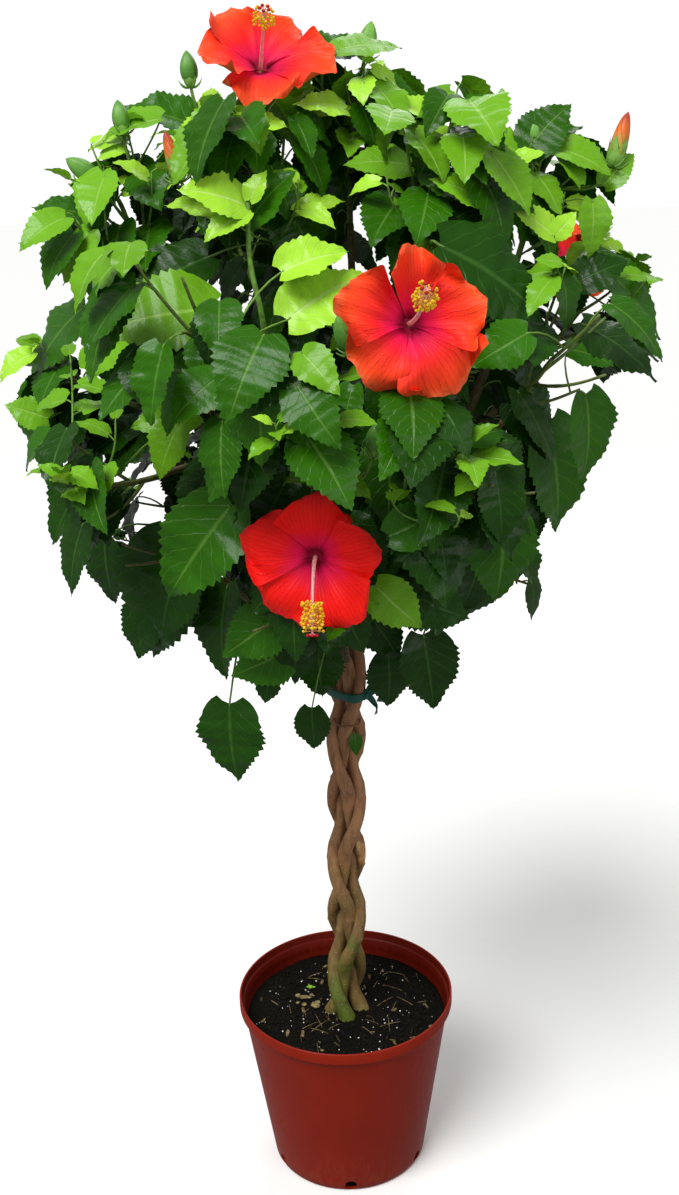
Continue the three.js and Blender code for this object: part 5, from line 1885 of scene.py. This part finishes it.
def drill_drains(made):
    """Cuts the drain holes through the foot of the wall."""
    skin = Skin()
    for k in range(DRAIN_HOLES):
        a = -math.pi / 2 + 2 * math.pi * k / DRAIN_HOLES
        out = vec(math.cos(a), math.sin(a), 0)
        start = out * (POT_FOOT_RADIUS - 10) + UP * (DRAIN_RADIUS + DRAIN_LIFT)
        tube(skin, [start, start + out * DRILL_LENGTH], (DRAIN_RADIUS, DRAIN_RADIUS), 20)
    drill = skin.piece("drill")
    cut = made.modifiers.new("Drains", "BOOLEAN")
    cut.operation = "DIFFERENCE"
    cut.solver = "EXACT"
    cut.object = drill
    mesh = mesh_after_modifiers(made)
    made.modifiers.clear()
    made.data = mesh
    bpy.data.objects.remove(drill)
    made.data.set_sharp_from_angle(angle=math.radians(38))


def soil_skin():
    """The mix: a lumpy top that rises to a low mound, closed by its sides and its underside."""
    skin, points = Skin(), []
    angles = 2 * math.pi * np.arange(SOIL_SIDES) / SOIL_SIDES
    edge = wall_radius(SOIL_TOP) - POT_WALL - 0.2
    for k in range(SOIL_RINGS):
        share = (k + 0.02) / (SOIL_RINGS - 1)
        r = edge * min(1, share)
        mound = MOUND_HEIGHT * math.exp(-((r / MOUND_RADIUS) ** 2))
        for t in angles:
            x, y = r * math.cos(t), r * math.sin(t)
            lump = sum(noise.noise(Vector((x, y, seed)) * often) * high for seed, often, high in SOIL_LUMPS)
            points.append((x, y, SOIL_TOP - 1.4 + lump * (1 - 0.5 * share**6) + mound))
    for z in (SOIL_TOP - 14, POT_FLOOR + 1):
        r = wall_radius(z) - POT_WALL - 1
        points += [(r * math.cos(t), r * math.sin(t), z) for t in angles]
    faces = [tuple(reversed(face)) for face in grid_faces(SOIL_RINGS + 2, SOIL_SIDES, closed=True)]
    faces.append(tuple(range(SOIL_SIDES)))
    faces.append(tuple(reversed([(SOIL_RINGS + 1) * SOIL_SIDES + i for i in range(SOIL_SIDES)])))
    skin.add(points, faces)
    return skin


def open_top(mesh):
    """A copy of the mix without its sides, its underside and its edge, so that grit lies on top."""
    top = mesh.copy()
    work = bmesh.new()
    work.from_mesh(top)
    low = (SOIL_TOP - 9) * MM
    gone = [f for f in work.faces if f.normal.z < 0.5 or f.calc_center_median().z < low]
    gone += [f for f in work.faces if f not in gone and f.calc_center_median().xy.length > GRIT_REACH * MM]
    bmesh.ops.delete(work, geom=gone, context="FACES")
    work.to_mesh(top)
    work.free()
    return top


def chips_skin():
    """A few pale chips of wood, left of the stems."""
    skin = Skin()
    for i in range(WOOD_CHIPS):
        at = vec(-46 + 30 * (draw(i, 1, 76) - 0.5), 14 + 24 * (draw(i, 2, 76) - 0.5), SOIL_TOP + 1.8)
        ball(skin, at, 1.8 + 3.2 * draw(i, 3, 76), 0.35, 5, 7)
    return skin


def straws_skin():
    """Bits of straw strewn over the mix."""
    skin = Skin()
    for i in range(STRAWS):
        away = aim(360 * draw(i, 1, 77), 0) * (34 + 58 * draw(i, 2, 77)) + UP * (SOIL_TOP + 1.6)
        half = aim(360 * draw(i, 3, 77), 3) * (7 + 8 * draw(i, 4, 77))
        tube(skin, curve(away - half, away + UP * 2, away + half, 5), (0.5, 0.3), 5)
    return skin


def sprout_skin():
    """A tuft of small weed leaves at the back of the mix."""
    skin = Skin()
    for i in range(SPROUT_LEAVES):
        foot = vec(-44 + i % 3, 40, SOIL_TOP - 1)
        lean = vec(math.cos(2.4 * i), math.sin(2.4 * i), 0) * (3 + 0.6 * i) + UP * (4 + i % 3)
        tube(skin, curve(foot, foot + UP * 4, foot + lean, 4), (0.5, 1.3, 1.5, 0.3), 6, tone=0.7)
    return skin


class HIBISCUS_OT_soil(bpy.types.Operator):
    """Makes the growing mix with its perlite, crumbs, chips and fibres"""

    bl_idname = "hibiscus.soil"
    bl_label = "Growing mix"

    def execute(self, context):
        settings = context.scene.pot_settings
        mix = keep(soil_skin().piece("growing_mix", peat_mix(settings.soil)), "growing_mix", "soil")
        white = mottled_grain("perlite", "#F1EEE6", "#C9C2B4", 1.5, 0.9)
        brown = mottled_grain("bark crumbs", "#0B0B07", "#1A1710", 3)
        straw = mottled_grain("coir fibre", "#8C7A54", "#4A3C28", 4)
        # Each kind: how many on a square metre, smallest and largest in metres, length, thickness and seed
        grains = [
            ("perlite_grains", white, settings.perlite, 0.0009, 0.0025, 1.1, 0.9, 11),
            ("bark_crumbs", brown, settings.crumbs, 0.0018, 0.0052, 1.5, 0.6, 12),
            ("bark_chips", brown, 260.0, 0.0035, 0.007, 2.0, 0.3, 13),
            ("coir_fibres", straw, 1300.0, 0.003, 0.006, 3.4, 0.08, 14),
        ]
        top = open_top(mix.data)
        for name, material, density, low, high, length, thickness, seed in grains:
            tree = scatter_tree(name + "_tree", grain_shape, material, False)
            values = {"Per square metre": density, "Smallest": low, "Largest": high, "Seed": seed}
            values.update({"Length": length, "Thickness": thickness})
            keep(scatter(name, top, tree, values, material), "growing_mix")
        bpy.data.meshes.remove(top)
        chip = mottled_grain("weathered wood chip", "#9A8A60", "#5E5236", 3)
        keep(chips_skin().piece("wood_chips", chip), "growing_mix")
        keep(straws_skin().piece("straws", straw), "growing_mix")
        keep(sprout_skin().piece("weed_sprout", soft_green("weed sprout", "#5C9A22", "#A8D244", 4)))
        return {"FINISHED"}


class HIBISCUS_OT_stems(bpy.types.Operator):
    """Makes the four plaited stems with their bark relief"""

    bl_idname = "hibiscus.stems"
    bl_label = "Stems"

    def execute(self, context):
        settings = context.scene.plant_settings
        bark = stem_bark(settings.bark_upper, settings.bark_middle, settings.bark_lower)
        for k in range(STEMS):
            keep(stem_skin(k).piece(f"bark_stem_{k + 1}", bark), "stem_bark", f"stem_{k + 1}")
        return {"FINISHED"}


class HIBISCUS_OT_boughs(bpy.types.Operator):
    """Makes each bough as one tapering limb in relief bark, and the twigs and shoots that they carry"""

    bl_idname = "hibiscus.boughs"
    bl_label = "Boughs and twigs"

    def execute(self, context):
        settings = context.scene.plant_settings
        bark = limb_bark("hibiscus bough bark", settings.bough, "#6A7A3A")
        for name, skin in bough_skins(whole_plant()["limbs"]).items():
            keep(skin.piece("bark_bough_" + name, bark), "bough_bark", "bough_" + name)
        green = limb_bark("hibiscus twig bark", settings.bough, settings.twig)
        keep(twig_skin(whole_plant()).piece("twigs", green), "foliage")
        return {"FINISHED"}


class HIBISCUS_OT_leaves(bpy.types.Operator):
    """Makes the leaves, joined by how light their colour is, partly for age and partly painted light and shade,
    with their stalks
    """

    bl_idname = "hibiscus.leaves"
    bl_label = "Leaves"

    def execute(self, context):
        settings = context.scene.plant_settings
        skins = {name: Skin() for name, _ in LEAF_TONES}
        stalks = Skin()
        for n, leaf in enumerate(whole_plant()["crown"].leaves):
            # The tone picks the leaf's colour group, so the groups carry painted light and shade as well as
            # age; the stalk takes the tone too
            tone = tone_of(leaf, n)
            kind = next(name for name, top in LEAF_TONES if tone < top)
            blade(skins[kind], leaf, n, settings, tone)
            stalk(stalks, leaf, tone)
        # Each kind: its colour, how much lighter it gets, its veins, its roughness and its wax
        looks = {
            "deep": (settings.deep, 1.9, "#4A7A2E", 0.3, 0.08),
            "mature": (settings.mature, 1.7, "#78A844", 0.3, 0.1),
            "fresh": (settings.fresh, 1.5, "#B4DA70", 0.33, 0.17),
            "young": (settings.young, 1.35, "#E4F4B0", 0.34, 0.24),
        }
        nodes = MASS_NODES
        for name, skin in skins.items():
            if skin.count:
                material = leaf_blade(name + " hibiscus leaf", *looks[name])
                keep(skin.piece("leaves_" + name, material), "foliage", *nodes)
                nodes = []
        green = soft_green("leaf stalk", "#3F5A22", "#8FBF4A")
        keep(stalks.piece("leaf_stalks", green), "foliage")
        return {"FINISHED"}


class HIBISCUS_OT_flowers(bpy.types.Operator):
    """Makes the blossoms with their petals, columns, stamens and cups, and the buds"""

    bl_idname = "hibiscus.flowers"
    bl_label = "Blossom and buds"

    def execute(self, context):
        settings = context.scene.flower_settings
        names = ("scarlet", "crimson", "column", "stigma", "bud", "bud_petal", "cup")
        skins = {name: Skin() for name in names}
        columns = Skin()
        for n, feature in enumerate(whole_plant()["features"]):
            if feature["kind"] == "bud":
                bud(skins, feature, n)
            else:
                self.blossom(skins, columns, feature, n)
        scarlet = soft_petal("scarlet petal", settings.scarlet, "#FF2426", settings.throat, "#FF7A48")
        crimson = soft_petal("crimson petal", settings.crimson, "#FF1418", settings.throat, "#B01228")
        pink = plain("staminal column", "#F7B9B4", 0.5, 3.0)
        plain("stamen filament", "#F4BC74", 0.5)
        plain("pollen", settings.pollen, 0.8)
        red = plain("stigma pad", "#C8141E", 0.75)
        keep(skins["scarlet"].piece("petals_scarlet", scarlet))
        keep(skins["crimson"].piece("petals_crimson", crimson))
        keep(skins["column"].piece("staminal_columns", pink))
        keep(skins["stigma"].piece("stigma_pads", red))
        flesh = soft_green("green bud", "#3F7F2A", "#86BF4E", 10, 0.45)
        keep(skins["bud"].piece("green_buds", flesh), "foliage")
        keep(skins["bud_petal"].piece("opening_buds", rolled_petal("#E8742A", "#B8452A")))
        cup = soft_green("calyx", "#4E8F34", "#9CCB5E", 8, 0.5)
        keep(skins["cup"].piece("cups_and_bracts", cup), "foliage")
        self.stamens(columns, settings)
        return {"FINISHED"}

    def blossom(self, skins, columns, feature, n):
        at, way, size = feature["at"], feature["way"], feature["size"]
        kind = "crimson" if n == CRIMSON_BLOSSOM else "scarlet"
        droop = 0.16 if way[2] < 0.5 else 0.05
        turn, ruffle, spread, reach, sag, broad = BLOSSOM_FORMS[n]
        for i in range(5):
            angle = turn + 2 * math.pi * i / 5 + 0.14 * (draw(n, i, 4) - 0.5)
            span = size * spread * (0.95 + 0.1 * draw(n, i, 5))
            petal(skins[kind], at, way, span, angle, n * 5 + i, droop, ruffle, broad[i])
        throat_floor(skins[kind], at, way, size)
        path = column_path(feature, reach, sag)
        radii = [share * size for share in COLUMN_RADII]
        tube(skins["column"], path, radii, 10, tone=0.5)
        stigma_and_anthers(skins, path, size)
        bearing = path[round(len(path) * STAMENS_FROM) :]
        tube(columns, bearing, (0.024 * size, 0.02 * size), 10, capped=False)
        green_cup(skins["cup"], at - way * 0.66 * size, way, 0.26 * size, n, 1.25)

    def stamens(self, columns, settings):
        host = columns.piece("column_guide")
        tree = scatter_tree("stamens_tree", stamen_shape, None, True)
        values = {"Per square metre": settings.stamens, "Smallest": 0.6, "Largest": 1.15, "Seed": 21}
        values.update({"Length": settings.filament, "Thickness": 0.0002})
        keep(scatter("stamens", host.data, tree, values))
        bpy.data.objects.remove(host)


class HIBISCUS_OT_tie(bpy.types.Operator):
    """Makes the soft tie tape with its knot and tails, and the thin wire twist below it"""

    bl_idname = "hibiscus.tie"
    bl_label = "Ties"

    def execute(self, context):
        tape = plain("soft tie tape", "#0C5F50", 0.42, 3.0, 0.15)
        wire = plain("paper twist wire", "#8A5A38", 0.7)
        skin = Skin()
        loop = self.loop(TIE_Z, 1.0)
        self.ribbon(skin, loop + loop[:1], TAPE_WIDTH, UP)
        knot = plait_centre(TIE_Z) + vec(*KNOT_OFF_CENTRE)
        for ends in TIE_TAILS:
            path = [knot] + [knot + vec(*p) for p in ends]
            self.ribbon(skin, smooth_path(path, 3), TAIL_WIDTH, mixed((UP, 1), (vec(0, -1, 0), 0.3)))
        ball(skin, knot, KNOT_RADIUS, 0.9, 6, 10)
        keep(skin.piece("tie_tape", tape), "tie_tape", "tie_band")
        skin = Skin()
        loop = self.loop(TIE_Z - WIRE_BELOW_TAPE, 1.03)
        tube(skin, loop + loop[:1], (WIRE_RADIUS, WIRE_RADIUS), 7, capped=False)
        end = loop[0]
        for bend, tip in WIRE_ENDS:
            tube(skin, curve(end, end + vec(*bend), end + vec(*tip), 6), (1.0, 0.8), 7)
        keep(skin.piece("twist_wire", wire))
        return {"FINISHED"}

    def loop(self, z, scale):
        """A closed line round the plait at a height, fitted to its long and short way."""
        long = unit(strand_point(0, z) - plait_centre(z))
        short = np.cross(UP, long)
        flat = TIE_HALF_SHORT / TIE_HALF_LONG
        points = []
        for i in range(40):
            t = 2 * math.pi * i / 40
            c, s = math.cos(t), math.sin(t)
            r = (TIE_HALF_LONG + 0.9) * scale / (abs(c) ** 3 + abs(s) ** 3) ** (1 / 3)
            points.append(plait_centre(z) + long * (r * c) + short * (r * s * flat))
        return points

    def ribbon(self, skin, path, width, upward):
        """A soft tape along a path, half a millimetre thick and slightly cupped."""
        n = len(path)
        rows = []
        for k, p in enumerate(path):
            way = unit(path[min(n - 1, k + 1)] - path[max(0, k - 1)])
            across = unit(upward - way * (upward @ way))
            out = np.cross(way, across)
            half = width / 2 * (1 + 0.08 * math.sin(k * 0.9))
            for u in (-1, -0.5, 0, 0.5, 1):
                rows.append(p + across * (half * u) + out * (0.35 * (1 - u * u) + 0.3))
            for u in (1, 0.5, 0, -0.5, -1):
                rows.append(p + across * (half * u) - out * 0.3)
        faces = grid_faces(n, 10, closed=True)
        faces += [tuple(reversed(range(10))), tuple((n - 1) * 10 + i for i in range(10))]
        skin.add(rows, faces)


class HIBISCUS_OT_stage(bpy.types.Operator):
    """Makes the pale floor, the soft lights and the camera"""

    bl_idname = "hibiscus.stage"
    bl_label = "Stage"

    def execute(self, context):
        settings = context.scene.stage_settings
        scene = context.scene
        skin = Skin()
        skin.add([(x * FLOOR_REACH, y * FLOOR_REACH, 0) for x, y in SQUARE], [(0, 1, 2, 3)])
        floor = skin.piece("floor", floor_finish(settings.floor))
        floor.visible_diffuse = False
        floor.visible_glossy = False
        sun = bpy.data.lights.new("key_light", "SUN")
        sun.angle = math.radians(KEY_ANGLE)
        sun.energy = settings.key
        way = Vector(KEY_DIRECTION)
        put("key_light", sun).matrix_world = way.to_track_quat("-Z", "Y").to_matrix().to_4x4()
        self.light("fill_light", (1.9, -1.9, 1.7), 1.8, settings.fill)
        self.light("back_light", (0.4, 2.0, 2.6), 1.6, settings.fill)
        scene.world = self.surround(settings.sky)
        scene.view_settings.view_transform = "Standard"
        camera = put("camera", bpy.data.cameras.new("camera"))
        camera.data.lens = CAMERA_LENS
        camera.data.sensor_width = 36.0
        turn = Matrix.Rotation(math.radians(90 - CAMERA_PITCH), 4, "X") @ Matrix.Rotation(CAMERA_ROLL, 4, "Z")
        camera.matrix_world = Matrix.Translation(CAMERA_PLACE) @ turn
        scene.camera = camera
        return {"FINISHED"}

    def light(self, name, stand, size, power):
        """A large soft area light that looks at the middle of the plant."""
        lamp = bpy.data.lights.new(name, "AREA")
        lamp.size = size
        lamp.energy = power
        way = Vector(LIT_POINT) - Vector(stand)
        turn = way.to_track_quat("-Z", "Y").to_matrix().to_4x4()
        put(name, lamp).matrix_world = Matrix.Translation(stand) @ turn

    def surround(self, strength):
        """A world that gives a dim white light and looks white to the camera."""
        world = bpy.data.worlds.new("pale surround")
        world.use_nodes = True
        tree = world.node_tree
        dim = tree.nodes["Background"]
        dim.inputs["Color"].default_value = (1, 1, 1, 1)
        dim.inputs["Strength"].default_value = strength
        white = add(tree, "ShaderNodeBackground", {"Color": (1, 1, 1, 1), "Strength": 1.05})
        seen = add(tree, "ShaderNodeLightPath").outputs["Is Camera Ray"]
        both = add(tree, "ShaderNodeMixShader", seen, dim, white)
        tree.links.new(both.outputs[0], tree.nodes["World Output"].inputs["Surface"])
        return world


class HIBISCUS_PT_panel(bpy.types.Panel):
    """Lists the pieces of the plant and their settings"""

    bl_idname = "HIBISCUS_PT_panel"
    bl_label = "Hibiscus standard"
    bl_space_type = "VIEW_3D"
    bl_region_type = "UI"
    bl_category = "Hibiscus"

    def draw(self, context):
        for kind in OPERATORS:
            self.layout.operator(kind.bl_idname)
        for label, kind in SETTINGS.items():
            group = getattr(context.scene, label)
            box = self.layout.box()
            for name in kind.__annotations__:
                box.prop(group, name)


SETTINGS = {
    "pot_settings": PotSettings,
    "plant_settings": PlantSettings,
    "flower_settings": FlowerSettings,
    "stage_settings": StageSettings,
}
OPERATORS = [
    HIBISCUS_OT_pot,
    HIBISCUS_OT_soil,
    HIBISCUS_OT_stems,
    HIBISCUS_OT_boughs,
    HIBISCUS_OT_leaves,
    HIBISCUS_OT_flowers,
    HIBISCUS_OT_tie,
    HIBISCUS_OT_stage,
]


def register():
    for kind in [*SETTINGS.values(), *OPERATORS, HIBISCUS_PT_panel]:
        bpy.utils.register_class(kind)
    for name, kind in SETTINGS.items():
        setattr(bpy.types.Scene, name, bpy.props.PointerProperty(type=kind))


def unregister():
    for name in SETTINGS:
        delattr(bpy.types.Scene, name)
    for kind in [HIBISCUS_PT_panel, *OPERATORS, *SETTINGS.values()]:
        bpy.utils.unregister_class(kind)


def main():
    register()
    for kind in OPERATORS:
        group, name = kind.bl_idname.split(".")
        getattr(getattr(bpy.ops, group), name)()
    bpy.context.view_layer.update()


if __name__ == "__main__":
    main()
